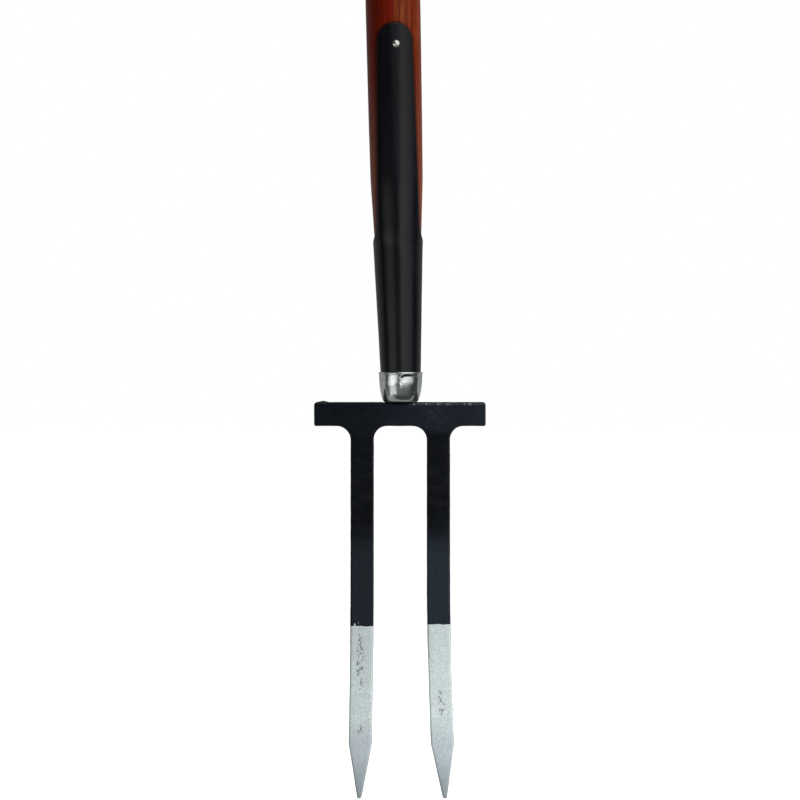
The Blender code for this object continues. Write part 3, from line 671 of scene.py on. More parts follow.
def strap_curve(step):
    """A strap's outline unrolled, as (angle from its middle, height): from the left slot over the top."""
    def wall_radius(height):
        return smooth_reading(SOCKET_AT, height) - WALL / 2.0

    shoulder = SLOT_BOTTOM + SLOT_RISE
    slot_angle = math.pi / 2.0 - math.asin(STRAP_HALF_WIDTH_LOW / wall_radius(shoulder))
    t = np.linspace(0.0, math.pi / 2.0, 16)
    widening = np.sin(t) ** SLOT_ROUNDNESS
    rise = 1.0 - np.cos(t) ** SLOT_ROUNDNESS
    slot = np.stack([math.pi / 2.0 - slot_angle * widening, SLOT_BOTTOM + SLOT_RISE * rise], axis=1)
    round_start = STRAP_TOP - STRAP_HALF_WIDTH_TOP
    height = np.linspace(shoulder, round_start, round((round_start - shoulder) / step) + 1)[1:]
    half_width = np.interp(height, (shoulder, round_start), (STRAP_HALF_WIDTH_LOW, STRAP_HALF_WIDTH_TOP))
    side = np.stack([np.arcsin(half_width / wall_radius(height)), height], axis=1)
    t = np.linspace(0.0, math.pi / 2.0, 17)[1:]
    height = round_start + STRAP_HALF_WIDTH_TOP * np.sin(t)
    top = np.stack([np.arcsin(STRAP_HALF_WIDTH_TOP * np.cos(t) / wall_radius(height)), height], axis=1)
    right = np.vstack([slot, side, top])
    left = right * (-1.0, 1.0)
    return np.vstack([left, right[-2::-1]])


def rolled(unrolled, inwards):
    """Roll (angle, height) points onto the socket's outside, then move them inwards by a wall depth."""
    angle = unrolled[..., 0] + STRAP_TURN
    height = unrolled[..., 1]
    radius = smooth_reading(SOCKET_AT, height) - inwards
    return np.stack([radius * np.sin(angle), -radius * np.cos(angle), height], axis=-1)


def socket_grids(socket):
    """The socket: rims carried round its upper and lower edges, and patches over both sides of its wall."""
    strap = strap_curve(socket.mesh_step)
    loop = np.vstack([strap[:-1], strap[:-1] + (math.pi, 0.0)])
    ahead = np.roll(loop, -1, axis=0)
    behind = np.roll(loop, 1, axis=0)
    ahead[-1, 0] += TURN
    behind[0, 0] -= TURN
    radius = smooth_reading(SOCKET_AT, loop[:, 1])
    along = (ahead - behind) * np.stack([radius, np.ones_like(radius)], axis=1)
    along /= np.linalg.norm(along, axis=1, keepdims=True)
    inwards = np.stack([along[:, 1] / radius, -along[:, 0]], axis=1)
    edge = arris_profile(socket.edge, 5, 2)
    sunk = edge["arris"] * socket.edge
    depth = np.where(edge["share"] == 1.0, WALL - sunk, sunk)
    depth = np.where((edge["share"] > 0.0) & (edge["share"] < 1.0), WALL * edge["share"], depth)
    moved = loop[:, None] + inwards[:, None] * edge["inset"][None, :, None]
    wear = np.broadcast_to(edge["wear"], moved.shape[:2])
    grids = [Grid(rolled(moved, depth), closed_rows=True, wear=wear)]

    corner = len(strap) // 2 - STRAP_CORNER_POINTS
    inner = (loop + inwards * socket.edge)[:len(strap)]
    inner = np.vstack([inner[:len(strap) - 1], inner[:1] * (-1.0, 1.0)])
    low = SOCKET_BOTTOM + socket.edge
    seam = np.linspace((-math.pi / 2.0, low), inner[0], round((inner[0, 1] - low) / socket.mesh_step) + 1)
    left = np.vstack([seam[:-1], inner[:corner + 1]])
    top = inner[corner:len(strap) - corner]
    bottom = np.linspace((-math.pi / 2.0, low), (math.pi / 2.0, low), len(top))
    front = coons(bottom, top, left, left * (-1.0, 1.0))
    for patch in (front, front + (math.pi, 0.0)):
        for inwards_by in (0.0, WALL):
            grids.append(Grid(rolled(patch, inwards_by), wear=np.zeros(patch.shape[:2])))
        foot = patch[0][:, None] + np.stack([0.0 * edge["inset"], edge["inset"] - socket.edge], axis=1)[None]
        grids.append(Grid(rolled(foot, depth), wear=np.broadcast_to(edge["wear"], foot.shape[:2])))
    return grids


def wood_grid(points, grain, lean, **closed):
    """A wooden surface whose grain attribute holds its place in the straight wood before it was bent."""
    return Grid(on_shaft(points, lean), grain=grain, **closed)


def round_part(theta):
    """Half of the round shaft: half circles up its bore, across its foot and up its outside."""
    bore_low = TANG_RADIUS + GAP
    bore_high = TANG_TIP_RADIUS + GAP
    outside = np.concatenate([np.arange(WOOD_AT[1, 0], CROTCH - 1.0 * MM, SHAFT_STEP), [CROTCH]])
    heights = np.concatenate([[TANG_TOP + GAP, TANG_TOP - bore_high, SHAFT_BOTTOM, SHAFT_BOTTOM], outside])
    radii = np.concatenate([[0.0, bore_high, bore_low, WOOD_AT[0, 1]], smooth_reading(WOOD_AT[1:], outside)])
    x = radii[:, None] * np.sin(theta)
    x[:, -1] = 0.0
    y = -radii[:, None] * np.cos(theta)
    return np.stack([x, y, np.broadcast_to(heights[:, None], x.shape)], axis=-1)


def arm_part(theta):
    """One arm of the split handle, and the same points in the straight wood before it was bent.

    Its inside moves out by a smooth step of the height. Its section goes from half a circle to a
    superellipse, is wider where the arm slopes, and shrinks along a circle's arc over the grip.
    """
    rise = np.linspace(CROTCH, SPREAD_TOP, 48)
    straight_up = np.linspace(SPREAD_TOP, GRIP_HEIGHT, 9)[1:]
    crown = GRIP_HEIGHT + ARM_HALF_WIDTH * np.sin(np.linspace(0.0, math.pi / 2.0, 26)[1:])
    heights = np.concatenate([rise, straight_up, crown])[:, None]
    share = np.clip((heights - CROTCH) / (SPREAD_TOP - CROTCH), 0.0, 1.0)
    spread = smooth_step(share)
    inside = ARM_INSIDE * spread
    slope = ARM_INSIDE * 6.0 * share * (1.0 - share) / (SPREAD_TOP - CROTCH)
    shaft_radius = WOOD_AT[-1, 1]
    across = (shaft_radius + (ARM_THICKNESS - shaft_radius) * spread) * np.sqrt(1.0 + slope ** 2)
    above = np.clip((heights - GRIP_HEIGHT) / ARM_HALF_WIDTH, 0.0, 1.0)
    half = (shaft_radius + (ARM_HALF_WIDTH - shaft_radius) * spread) * np.sqrt(1.0 - above ** 2)
    power = 2.0 / (2.0 + (ARM_SQUARENESS - 2.0) * spread)
    rounding = np.clip((heights - CROTCH) / CROTCH_ROUNDING, 0.0, 1.0)
    bulge_in = across / 2.0 * smooth_step(rounding)
    around = np.concatenate([theta, theta[-2:0:-1]])
    outwards = np.concatenate([np.ones_like(theta), -np.ones(len(theta) - 2)])
    bulge = np.where(outwards > 0.0, across - bulge_in, bulge_in)
    cosine = np.cos(around)
    x = inside + bulge_in + outwards * bulge * np.clip(np.sin(around), 0.0, 1.0) ** power
    y = -half * np.sign(cosine) * np.abs(cosine) ** power
    arm = np.stack([x, y, np.broadcast_to(heights, x.shape)], axis=-1)
    bent_by = np.stack([np.broadcast_to(inside, x.shape), 0.0 * y, 0.0 * y], axis=-1)
    return arm, arm - bent_by


def shaft_grids(handle):
    """The shaft: its round part and its arms, the left side mirrored from the right."""
    theta = np.linspace(0.0, math.pi, handle.steps + 1)
    lower = round_part(theta)
    arm, unbent = arm_part(theta)
    grids = []
    for side in (np.ones(3), np.array((-1.0, 1.0, 1.0))):
        grids.append(wood_grid(lower * side, lower * side, handle.lean))
        grids.append(wood_grid(arm * side, unbent * side, handle.lean, closed_columns=True))
    return grids


def grip_grid(handle):
    """The grip: a barrel with rounded ends and a bore, turned about a line across the shaft."""
    half = ARM_INSIDE - GAP
    end_radius = handle.grip_radius - GRIP_TAPER
    barrel_end = half - GRIP_CORNER - 0.2 * MM
    along = np.linspace(-barrel_end, barrel_end, 40)
    swell = end_radius + (handle.grip_radius - end_radius) * np.cos(math.pi / 2.0 * along / half)
    t = np.linspace(0.0, math.pi / 2.0, 8)
    corner = np.stack([
        end_radius - GRIP_CORNER * (1.0 - np.cos(t)), half - GRIP_CORNER * (1.0 - np.sin(t))], axis=1)
    right = np.vstack([np.stack([swell, along], axis=1), corner, ((GRIP_BORE, half),)])
    profile = np.vstack([((GRIP_BORE, -half),), (corner * (1.0, -1.0))[::-1], right])
    grid = turned(profile, 72, axis=(1.0, 0.0, 0.0), closed=True)
    points = grid.points + (0.0, 0.0, GRIP_HEIGHT)
    grain = grid.points[..., (2, 1, 0)]
    return wood_grid(points, grain, handle.lean, closed_rows=True, closed_columns=True)


def collar_grid(collar):
    """The collar: a rolled lip, a groove, a tapering side and a round knee, turned as one thin wall."""
    rim = (collar.rim_radius, collar.height)
    outside = soften(np.vstack([COLLAR_LIP + rim, COLLAR_SIDE]), COLLAR_ROUNDING, steps=7)
    inside = np.vstack([COLLAR_INSIDE, COLLAR_INSIDE_TOP + rim])
    grid = turned(np.vstack([outside, inside]), collar.steps, closed=True)
    grid.points = grid.points + AXIS_FOOT + (COLLAR_ASIDE, 0.0, 0.0)
    in_foot = grid.points[..., 2] < TREAD_TOP - COLLAR_FOOT
    off_bar = np.abs(grid.points[..., 1] - MIDDLE_Y) > TREAD_THICKNESS / 2.0 + FOOT_CLEARANCE
    grid.points[in_foot & off_bar, 2] -= FOOT_DROP
    return grid


def domed_rivet(shank, head_radius, head_height, seat):
    """Profile of a rivet along its axis: a dome with a small rim at each end, and the shank between."""
    t = np.linspace(0.0, math.pi / 2.0, 12)
    dome_height = seat + 0.12 * head_height + 0.88 * head_height * np.cos(t)
    dome = np.stack([head_radius * np.sin(t), dome_height], axis=1)
    upper = np.vstack([dome, ((head_radius * 0.97, seat), (shank, seat))])
    return np.vstack([upper, (upper * (1.0, -1.0))[::-1]])


def washer_profile(hole, radius, start):
    """Section of a washer with broken edges, its underside `start` along the axis."""
    end = start + WASHER_THICKNESS
    return soften(((hole, start), (radius, start), (radius, end), (hole, end)), 0.3 * MM, 3, closed=True)


class Value:
    """A number or colour in a node tree; arithmetic on numbers adds Math nodes."""

    def __init__(self, nodes, socket):
        self.nodes = nodes
        self.socket = socket

    def maths(self, operation, *others):
        return self.nodes.add(
            "ShaderNodeMath", {"operation": operation}, dict(enumerate((self, *others))))

    def __add__(self, other):
        return self.maths("ADD", other)

    def __sub__(self, other):
        return self.maths("SUBTRACT", other)

    def __mul__(self, other):
        return self.maths("MULTIPLY", other)

    def __truediv__(self, other):
        return self.maths("DIVIDE", other)

    def __pow__(self, other):
        return self.maths("POWER", other)

    def __rsub__(self, other):
        return self.nodes.add("ShaderNodeMath", {"operation": "SUBTRACT"}, {0: other, 1: self})

    def __rtruediv__(self, other):
        return self.nodes.add("ShaderNodeMath", {"operation": "DIVIDE"}, {0: other, 1: self})

    __radd__ = __add__
    __rmul__ = __mul__

    def or_more(self, other):
        """The larger of two numbers."""
        return self.maths("MAXIMUM", other)

    def rise(self, low, high):
        """0 below low, 1 above high, and a smooth step between them; falls where high is below low."""
        return self.nodes.add(
            "ShaderNodeMapRange", {"interpolation_type": "SMOOTHSTEP"},
            {"Value": self, "From Min": low, "From Max": high})

    def rise_squared(self, low, high):
        """The same step for a squared distance, between two plain distances."""
        return self.rise(low ** 2, high ** 2)

    def part(self, axis):
        """One coordinate of a vector."""
        return self.nodes.add("ShaderNodeSeparateXYZ", {}, {"Vector": self}, output="XYZ".index(axis))

    def scaled(self, *factors):
        """A vector with each coordinate multiplied."""
        return self.nodes.add(
            "ShaderNodeVectorMath", {"operation": "MULTIPLY"}, {0: self, 1: factors})


class Nodes:
    """A node tree that is written as expressions."""

    def __init__(self, tree):
        self.tree = tree

    def add(self, kind, settings, sockets, output=0):
        """Add a node: its settings first, then the values or links of its sockets."""
        made = self.tree.nodes.new(kind)
        for name, value in settings.items():
            setattr(made, name, value)
        for name, value in sockets.items():
            self.feed(made.inputs[name], value)
        return Value(self, made.outputs[output])

    def feed(self, socket, value):
        """Link a socket to a value, or set it to a number or colour."""
        if isinstance(value, Value):
            self.tree.links.new(value.socket, socket)
        elif hasattr(value, "__len__") and len(value) == 3 and socket.type == "RGBA":
            socket.default_value = (*value, 1.0)
        else:
            socket.default_value = value

    def ray(self, *kinds):
        """1 for rays of the kinds named, such as Camera, and 0 for others."""
        found = [self.add("ShaderNodeLightPath", {}, {}, output=f"Is {kind} Ray") for kind in kinds]
        seen = found[0]
        for other in found[1:]:
            seen = seen.or_more(other)
        return seen


class Finish(Nodes):
    """A material with a Principled shader."""

    def __init__(self, name):
        self.material = bpy.data.materials.new(name)
        self.material.use_nodes = True
        super().__init__(self.material.node_tree)
        self.shader = self.tree.nodes["Principled BSDF"]

    def place(self):
        """Object coordinates."""
        return self.add("ShaderNodeTexCoord", {}, {}, output="Object")

    def attribute(self, name, output="Fac"):
        """A value that the mesh carries; the output Vector reads it as a vector."""
        return self.add("ShaderNodeAttribute", {"attribute_name": name}, {}, output=output)

    def noise(self, place, scale, detail, roughness=0.5, distortion=0.0):
        """Noise around 0.5, whose features are about one over its scale across."""
        return self.add(
            "ShaderNodeTexNoise", {},
            {"Vector": place, "Scale": scale, "Detail": detail, "Roughness": roughness,
             "Distortion": distortion})

    def mix(self, share, low, high):
        """Blend of two colours."""
        return self.add("ShaderNodeMix", {"data_type": "RGBA"}, {0: share, 6: low, 7: high}, output=2)

    def layered(self, colour, *layers):
        """A colour with others laid over it in turn, each given as its share and its colour."""
        for share, over in layers:
            colour = self.mix(share, colour, over)
        return colour

    def bump(self, height, distance, strength, under=None):
        """Normal of a surface with a height field over it, on top of another bump."""
        sockets = {"Height": height, "Distance": distance, "Strength": strength}
        if under is not None:
            sockets["Normal"] = under
        return self.add("ShaderNodeBump", {}, sockets)

    def paint(self, **sockets):
        """Feed the shader's sockets, named with underscores, and give back the material."""
        for name, value in sockets.items():
            self.feed(self.shader.inputs[name.replace("_", " ")], value)
        return self.material


def tinted(colour, factor):
    """A colour made darker or brighter."""
    return [factor * part for part in colour]


def in_marks(place, *marks):
    """1 inside any of some upright ellipses seen from the front, falling softly to 0 at their outlines."""
    across, up = place.part("X"), place.part("Z")
    inside = 0.0
    for x, z, half_width, half_height in marks:
        distance = ((across - x) / half_width) ** 2.0 + ((up - z) / half_height) ** 2.0
        inside = distance.rise(1.0, 0.4).or_more(inside)
    return inside


def silver_paint(finish, head, right_side, lip):
    """Silver paint: speckled, bluish below its middle, pitted in streaks; wear and painted shade darken the
    points.

    It has painted shade on the left tine, is darker towards its top, and has a pale lip.
    Gives its colour, its speckle and its pits.
    """
    place = finish.place()
    z = place.part("Z")
    speckle = finish.noise(place.scaled(1.0, 1.0, 0.7), 1050.0, 3.0, 0.7, 1.6)
    cloud = finish.noise(place, 60.0, 2.0)
    pit_noise = finish.noise(place.scaled(1.0, 1.0, 0.6), 600.0, 2.0, 0.5, 1.2)
    pits = pit_noise.rise(0.545, 0.60) * in_marks(place, *PITTED)
    # painted shade on the left tine, which faces away from the light, and darker towards the top
    painted_shade_and_dark_top = (1.0 - right_side) * 0.17 + 0.14 * z.rise(*SILVER_DARKER_TOP)
    colour = finish.layered(
        tinted(head.silver, 0.82),
        (speckle.rise(0.40, 0.60), tinted(head.silver, 1.28)),
        (cloud.rise(0.40, 0.70) * 0.35, tinted(head.silver, 0.92)),
        (z.rise(*BLUE_TOP) * z.rise(*BLUE_FOOT) * 0.45, SILVER_BLUE),
        (painted_shade_and_dark_top, SILVER_PAINTED_SHADE),
        # darker at the points: wear, and painted shade where the bevels turn away from the light
        (z.rise(*WORN_AND_SHADED_POINT) * 0.74, SILVER_WORN_AND_SHADED),
        (lip * 0.75, SILVER_LIP),
        (pits * 0.8, SILVER_PIT))
    return colour, speckle, pits


def black_paint(finish, head, right_side):
    """Black paint, chipped along the arrises, with a painted sheen on the crossbar and low on the tines.

    The crossbar's front has painted glints where it is blistered on its right, bare specks and a painted
    highlight along the upper edge there, and a lump of paint with a painted highlight near its left end. A
    grey fleck lies above the left tine's silver.
    """
    place = finish.place()
    x, z = place.part("X"), place.part("Z")
    on_front = place.part("Y").rise(*FRONT_FACE)
    patches = finish.noise(place, 45.0, 2.0)
    chips = finish.attribute("wear").rise(0.35, 0.75) * finish.noise(place, 520.0, 3.0, 0.7).rise(0.58, 0.66)
    chips = chips * finish.noise(place, 24.0, 1.0).rise(0.50, 0.62) * z.rise(*CHIPPED_BELOW)
    dashes = finish.noise(place.scaled(1.0, 0.0, 0.0), 330.0, 2.0, 0.7).rise(0.50, 0.60)
    # bare specks along the upper edge on the right, and a painted highlight of its rounding there
    rubbed_and_highlit = ((z - HIGHLIT_RUBBED_HEIGHT) ** 2.0).rise_squared(*HIGHLIT_RUBBED_REACH) * x.rise(*HIGHLIT_RUBBED_SIDE) * on_front
    # painted glints of the light on blistered paint
    blister_glints = finish.noise(place.scaled(1.0, 1.0, 1.4), 300.0, 2.0, 0.6, 0.8).rise(0.50, 0.64)
    # painted sheen: lighter on the crossbar, more to its right, and low on the bent tines, more on the right
    # one
    bar_sheen = z.rise(*SHEEN_BAR) * (0.2 + 0.7 * x.rise(*SHEEN_BAR_SIDE))
    dull = (0.70 * bar_sheen).or_more(z.rise(*SHEEN_TINE) * (0.50 + 0.48 * right_side))
    # speckle within the painted sheen
    sheen_speckle = finish.noise(place, 760.0, 3.0, 0.75).rise(0.50, 0.68)
    return finish.layered(
        head.black,
        (patches.rise(0.35, 0.7), tinted(head.black, 1.5)),
        (dull, BLACK_PAINTED_SHEEN),
        (sheen_speckle * dull * 0.26, BLACK_SHEEN_SPECKLE),
        (rubbed_and_highlit * (0.15 + 0.85 * dashes) * 0.8, RUBBED_STEEL_AND_HIGHLIGHT),
        (blister_glints * in_marks(place, GLINTED_BLISTERS) * on_front * 0.45, BLISTER_PAINTED_GLINT),
        # painted highlight along the lump of paint
        (in_marks(place, LUMP) * on_front * (0.25 + 0.75 * dashes) * 0.5, LUMP_PAINTED_HIGHLIGHT),
        (in_marks(place, FLECK).or_more(chips) * 0.85, CHIPPED_STEEL))


def head_finish(head):
    """Black paint, and silver paint on the tines up to an uneven line with a raised lip."""
    finish = Finish("head_paint")
    place = finish.place()
    right_side = place.part("X").rise(*RIGHT_HALF)
    waver = finish.noise(place.scaled(1.0, 1.0, 0.0), 160.0, 2.0) - 0.5
    below = head.dip_height + right_side * DIP_STEP + waver * DIP_WAVER - place.part("Z")
    silver = below.rise(*DIP_BLUR).or_more(in_marks(place, DRIP))
    lip = below.rise(*DIP_LIP) * silver
    tone, speckle, pits = silver_paint(finish, head, right_side, lip)
    colour = finish.mix(silver, black_paint(finish, head, right_side), tone)

    lumps = finish.noise(place, 210.0, 3.0, 0.55)
    peel = finish.noise(place, 900.0, 2.0, 0.5)
    fine = finish.noise(place, 2600.0, 2.0, 0.6)
    roughness = 0.15 + lumps * 0.08 + silver * (0.18 + speckle * 0.20)
    coarse = finish.bump((lumps * 0.8 + peel * 0.12) * (1.0 - silver * 0.6), 0.16 * MM, 0.5)
    edge = finish.bump(silver + lip * 0.5, 0.12 * MM, 0.8, coarse)
    normal = finish.bump((speckle * 0.7 + fine * 0.3 - pits) * silver, 0.16 * MM, 0.6, edge)
    return finish.paint(
        Base_Color=colour, Roughness=roughness, Metallic=silver * 0.55, Normal=normal,
        Specular_IOR_Level=0.11)


def satin_finish(socket):
    """Satin black paint with faint orange peel, dust and long scuffs, a little paler along its edges."""
    finish = Finish("satin_black_paint")
    place = finish.place()
    peel = finish.noise(place, 1100.0, 2.0, 0.55)
    waves = finish.noise(place.scaled(1.0, 1.0, 0.3), 90.0, 2.0)
    dust = finish.noise(place, 2400.0, 1.0).rise(0.70, 0.78)
    scuffs = finish.noise(place.scaled(1.0, 1.0, 0.08), 420.0, 3.0, 0.6).rise(0.62, 0.74)
    wear = finish.attribute("wear")
    colour = finish.layered(
        socket.black,
        (waves.rise(0.3, 0.7), tinted(socket.black, 1.45)),
        (dust * 0.12 + scuffs * 0.05 + wear * 0.08, DUST))
    roughness = 0.19 + waves * 0.05 + scuffs * 0.12 + peel * 0.04
    normal = finish.bump(peel, 0.04 * MM, 0.5, finish.bump(waves, 0.25 * MM, 0.35))
    return finish.paint(
        Base_Color=colour, Roughness=roughness, Normal=normal, Specular_IOR_Level=0.30)


def chrome_finish(collar):
    """Bright plating over uneven metal, with smudges, grime, wiping marks and more crazing on the right.

    Shade is painted dark into the right part of the groove and round the foot, where it also stands for
    the crossbar's dark reflection.
    """
    finish = Finish("chrome_plate")
    place = finish.place()
    x, z = place.part("X"), place.part("Z")
    dents = finish.noise(place, 170.0, 2.0, 0.5, 0.4)
    wipes = finish.noise(place.scaled(1.0, 1.0, 9.0), 260.0, 2.0, 0.6)
    smudge = finish.noise(place, 240.0, 4.0, 0.7).rise(0.45, 0.72)
    grime = finish.noise(place, 900.0, 3.0, 0.7).rise(0.60, 0.72)
    # painted shade in the groove under the lip
    off_groove = (z - (GROOVE_HEIGHT + x.rise(*GROOVE_CLIMB) * GROOVE_RISE)) ** 2.0
    groove = off_groove.rise_squared(*GROOVE_REACH) * x.rise(*GROOVE_LEFT) * x.rise(*GROOVE_RIGHT)
    groove = groove * (0.93 + 0.07 * x.rise(*GROOVE_SHADE_FAINTER))
    # painted shade in the groove and round the foot, where it also stands for the crossbar's dark reflection
    collar_painted_shade = groove.or_more(z.rise(*SHADED_FOOT_ZONE))
    colour = finish.layered(
        collar.plating,
        (smudge * 0.35 + grime * 0.25, tinted(collar.plating, 0.72)),
        (collar_painted_shade, COLLAR_PAINTED_SHADE))
    roughness = 0.10 + smudge * 0.10 + wipes * 0.03 + grime * 0.10
    crazed = finish.noise(place, 1500.0, 2.0, 0.6) * (0.6 + 1.2 * x.rise(*CRAZED_SIDE))
    uneven = finish.bump(crazed, 0.03 * MM, 0.45, finish.bump(dents, 0.30 * MM, 0.45))
    normal = finish.bump(wipes, 0.02 * MM, 0.4, uneven)
    # the painted shade is no metal and reflects nothing
    return finish.paint(
        Base_Color=colour, Roughness=roughness, Metallic=1.0 - collar_painted_shade, Normal=normal,
        Specular_IOR_Level=0.0)


def growth_rings(finish, grain):
    """Shares of early and late wood: the fraction of the distance from the heart over a ring's width.

    The distance drifts slowly along the shaft. Early wood fills a ring's first part, late wood its last.
    """
    drift = finish.noise(grain.scaled(1.0, 1.0, 0.10), 26.0, 2.0) - 0.5
    from_heart = ((grain.part("X") - HEART_X) ** 2.0 + (grain.part("Y") - HEART_Y) ** 2.0) ** 0.5
    ring = ((from_heart + drift * HEART_DRIFT) / RING_WIDTH).maths("FRACT")
    early = ring.rise(0.0, 0.10) * ring.rise(0.60, 0.30)
    late = ring.rise(0.50, 0.85) * ring.rise(1.0, 0.95)
    return early, late


def strap_contact_shade(across, depth, height):
    """1 under the straps, falling to 0 in a narrow band round them, where shade is painted on the wood.

    The band follows the distance from a strap's outline, which tapers and has a round top.
    """
    from_strap = across + depth * math.sin(STRAP_TURN)
    above_round = (height - (STRAP_TOP - STRAP_HALF_WIDTH_TOP)).or_more(0.0)
    taper = (STRAP_HALF_WIDTH_LOW - STRAP_HALF_WIDTH_TOP) / (STRAP_TOP - SLOT_BOTTOM)
    strap_half_width = STRAP_HALF_WIDTH_TOP + (STRAP_TOP - height).or_more(0.0) * taper
    beside = (from_strap ** 2.0 + above_round ** 2.0) ** 0.5 - strap_half_width
    return beside.rise(*CONTACT_REACH) * height.rise(*CONTACT_FOOT)


def wood_finish(handle):
    """Stained ash under lacquer: growth rings that drift along the shaft, with fine streaks and pores.

    The front below 400 mm has quieter rings, is redder on its left, and on its right has a painted sheen of
    paler grain and fine threads. The wood is worn pale low down and has painted shade along the straps.
    """
    finish = Finish("lacquered_wood")
    grain = finish.attribute("grain", output="Vector")
    across, depth, height = (grain.part(axis) for axis in "XYZ")
    front = depth.rise(*FRONT_WOOD) * height.rise(*FRONT_TOP) * height.rise(*FRONT_FOOT)
    elsewhere = 1.0 - front
    red_side = across.rise(*RED_SIDE) * front
    # painted sheen where the light would reflect on the front's right, streaked with paler grain
    sheen_band = across.rise(*SHEEN_BAND_LEFT) * across.rise(*SHEEN_BAND_RIGHT) * front
    early, late = growth_rings(finish, grain)
    streaks = finish.noise(grain.scaled(1.0, 1.0, 0.028), 900.0, 4.0, 0.70)
    threads = finish.noise(grain.scaled(1.0, 1.0, 0.02), 1250.0, 2.0, 0.5)
    threaded = (sheen_band * 0.55).or_more(across.rise(*THREADED_SIDE) * front * 0.50)
    pores = finish.noise(grain.scaled(1.0, 1.0, 0.07), 1500.0, 2.0, 0.5)
    pore = pores.rise(0.56, 0.64) * (0.35 + 0.65 * early)
    blotch = finish.noise(grain.scaled(1.0, 1.0, 0.35), 30.0, 2.0)
    worn = height.rise(*WORN_TOP) * height.rise(*WORN_FOOT) * (0.48 - 0.30 * across.rise(*LESS_WORN_SIDE))
    pale_lines = streaks.rise(0.44, 0.30) * (0.15 + 0.45 * sheen_band + 0.25 * elsewhere)
    colour = finish.layered(
        handle.stain,
        (red_side, handle.red_stain),
        # paler grain in the painted sheen
        (sheen_band * (0.35 + 0.65 * early), handle.pale_grain),
        (early * (0.06 + 0.74 * elsewhere), tinted(handle.pale_grain, 1.25)),
        (late * (0.26 + 0.64 * elsewhere + 0.22 * sheen_band), handle.dark_grain),
        (streaks.rise(0.52, 0.66) * (0.34 + 0.24 * sheen_band), handle.dark_grain),
        (pale_lines, tinted(handle.pale_grain, 1.2)),
        (threads.rise(0.50, 0.60) * threaded, tinted(handle.pale_grain, 1.5)),
        (threads.rise(0.46, 0.38) * threaded, handle.dark_grain),
        (blotch.rise(0.42, 0.68) * (0.12 + 0.18 * elsewhere), tinted(handle.stain, 0.6)),
        (pore * 0.65, handle.dark_grain),
        (worn, WORN_WOOD),
        # painted shade beside the straps
        (strap_contact_shade(across, depth, height) * 0.8, WOOD_PAINTED_SHADE))
    roughness = 0.24 + streaks * 0.12 + pore * 0.2
    normal = finish.bump(streaks * 0.5 - pore - late * 0.3, 0.05 * MM, 0.6)
    return finish.paint(
        Base_Color=colour, Roughness=roughness, Normal=normal, Specular_IOR_Level=0.11)


def steel_finish(name, colour, roughness, scale=600.0):
    """Bare or plated steel with fine mottling, scratches and dull spots."""
    finish = Finish(name)
    place = finish.place()
    mottle = finish.noise(place, scale, 4.0, 0.6)
    scratch = finish.noise(place.scaled(1.0, 1.0, 8.0), scale, 2.0, 0.5)
    dull = finish.noise(place, scale * 0.3, 3.0).rise(0.50, 0.72)
    tone = finish.mix(mottle.rise(0.35, 0.7) * 0.5 + dull * 0.3, colour, tinted(colour, 0.62))
    rough = roughness * 0.8 + mottle * 0.12 + dull * 0.15
    normal = finish.bump(scratch, 0.02 * MM, 0.4, finish.bump(mottle, 0.08 * MM, 0.35))
    return finish.paint(Base_Color=tone, Roughness=rough, Metallic=1.0, Normal=normal)


def dress_node(name, finish):
    """Give a carried-over CAD node a finish."""
    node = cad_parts[name]
    node.data.materials.clear()
    node.data.materials.append(finish)


class AddHead(bpy.types.Operator):
    """Add the crossbar and tines"""

    bl_idname = "border_fork.add_head"
    bl_label = "Head"

    def execute(self, context):
        head = context.scene.border_fork.head
        grids = head_grids(head)
        for grid in grids:
            grid.points = roughened(grid.points, FORGED_WAVE, head.unevenness, seed=3)
            grid.points[..., 2] = np.maximum(grid.points[..., 2], HEAD_LOW.z)
        add_piece("crossbar_and_tines", grids, head_finish(head), ("fork_head",))
        return {"FINISHED"}


class AddSocket(bpy.types.Operator):
    """Add the socket with its straps"""

    bl_idname = "border_fork.add_socket"
    bl_label = "Socket"

    def execute(self, context):
        settings = context.scene.border_fork
        grids = socket_grids(settings.socket)
        for grid in grids:
            placed = on_shaft(grid.points, settings.handle.lean)
            grid.points = roughened(placed, PRESSED_WAVE, settings.socket.unevenness, seed=11)
        add_piece("strapped_socket", grids, satin_finish(settings.socket), ("socket",))
        return {"FINISHED"}


class AddCollar(bpy.types.Operator):
    """Add the chromed collar"""

    bl_idname = "border_fork.add_collar"
    bl_label = "Collar"

    def execute(self, context):
        settings = context.scene.border_fork
        grid = collar_grid(settings.collar)
        grid.points = roughened(grid.points, SPUN_WAVE, SPUN_UNEVENNESS, seed=23)
        add_piece("chromed_collar", [grid], chrome_finish(settings.collar), ("collar",))
        return {"FINISHED"}


class AddHandle(bpy.types.Operator):
    """Add the wooden shaft and its grip"""

    bl_idname = "border_fork.add_handle"
    bl_label = "Shaft and grip"

    def execute(self, context):
        handle = context.scene.border_fork.handle
        finish = wood_finish(handle)
        add_piece("wooden_shaft", shaft_grids(handle), finish, ("shaft",))
        add_piece("turned_grip", [grip_grid(handle)], finish, ("grip",))
        return {"FINISHED"}


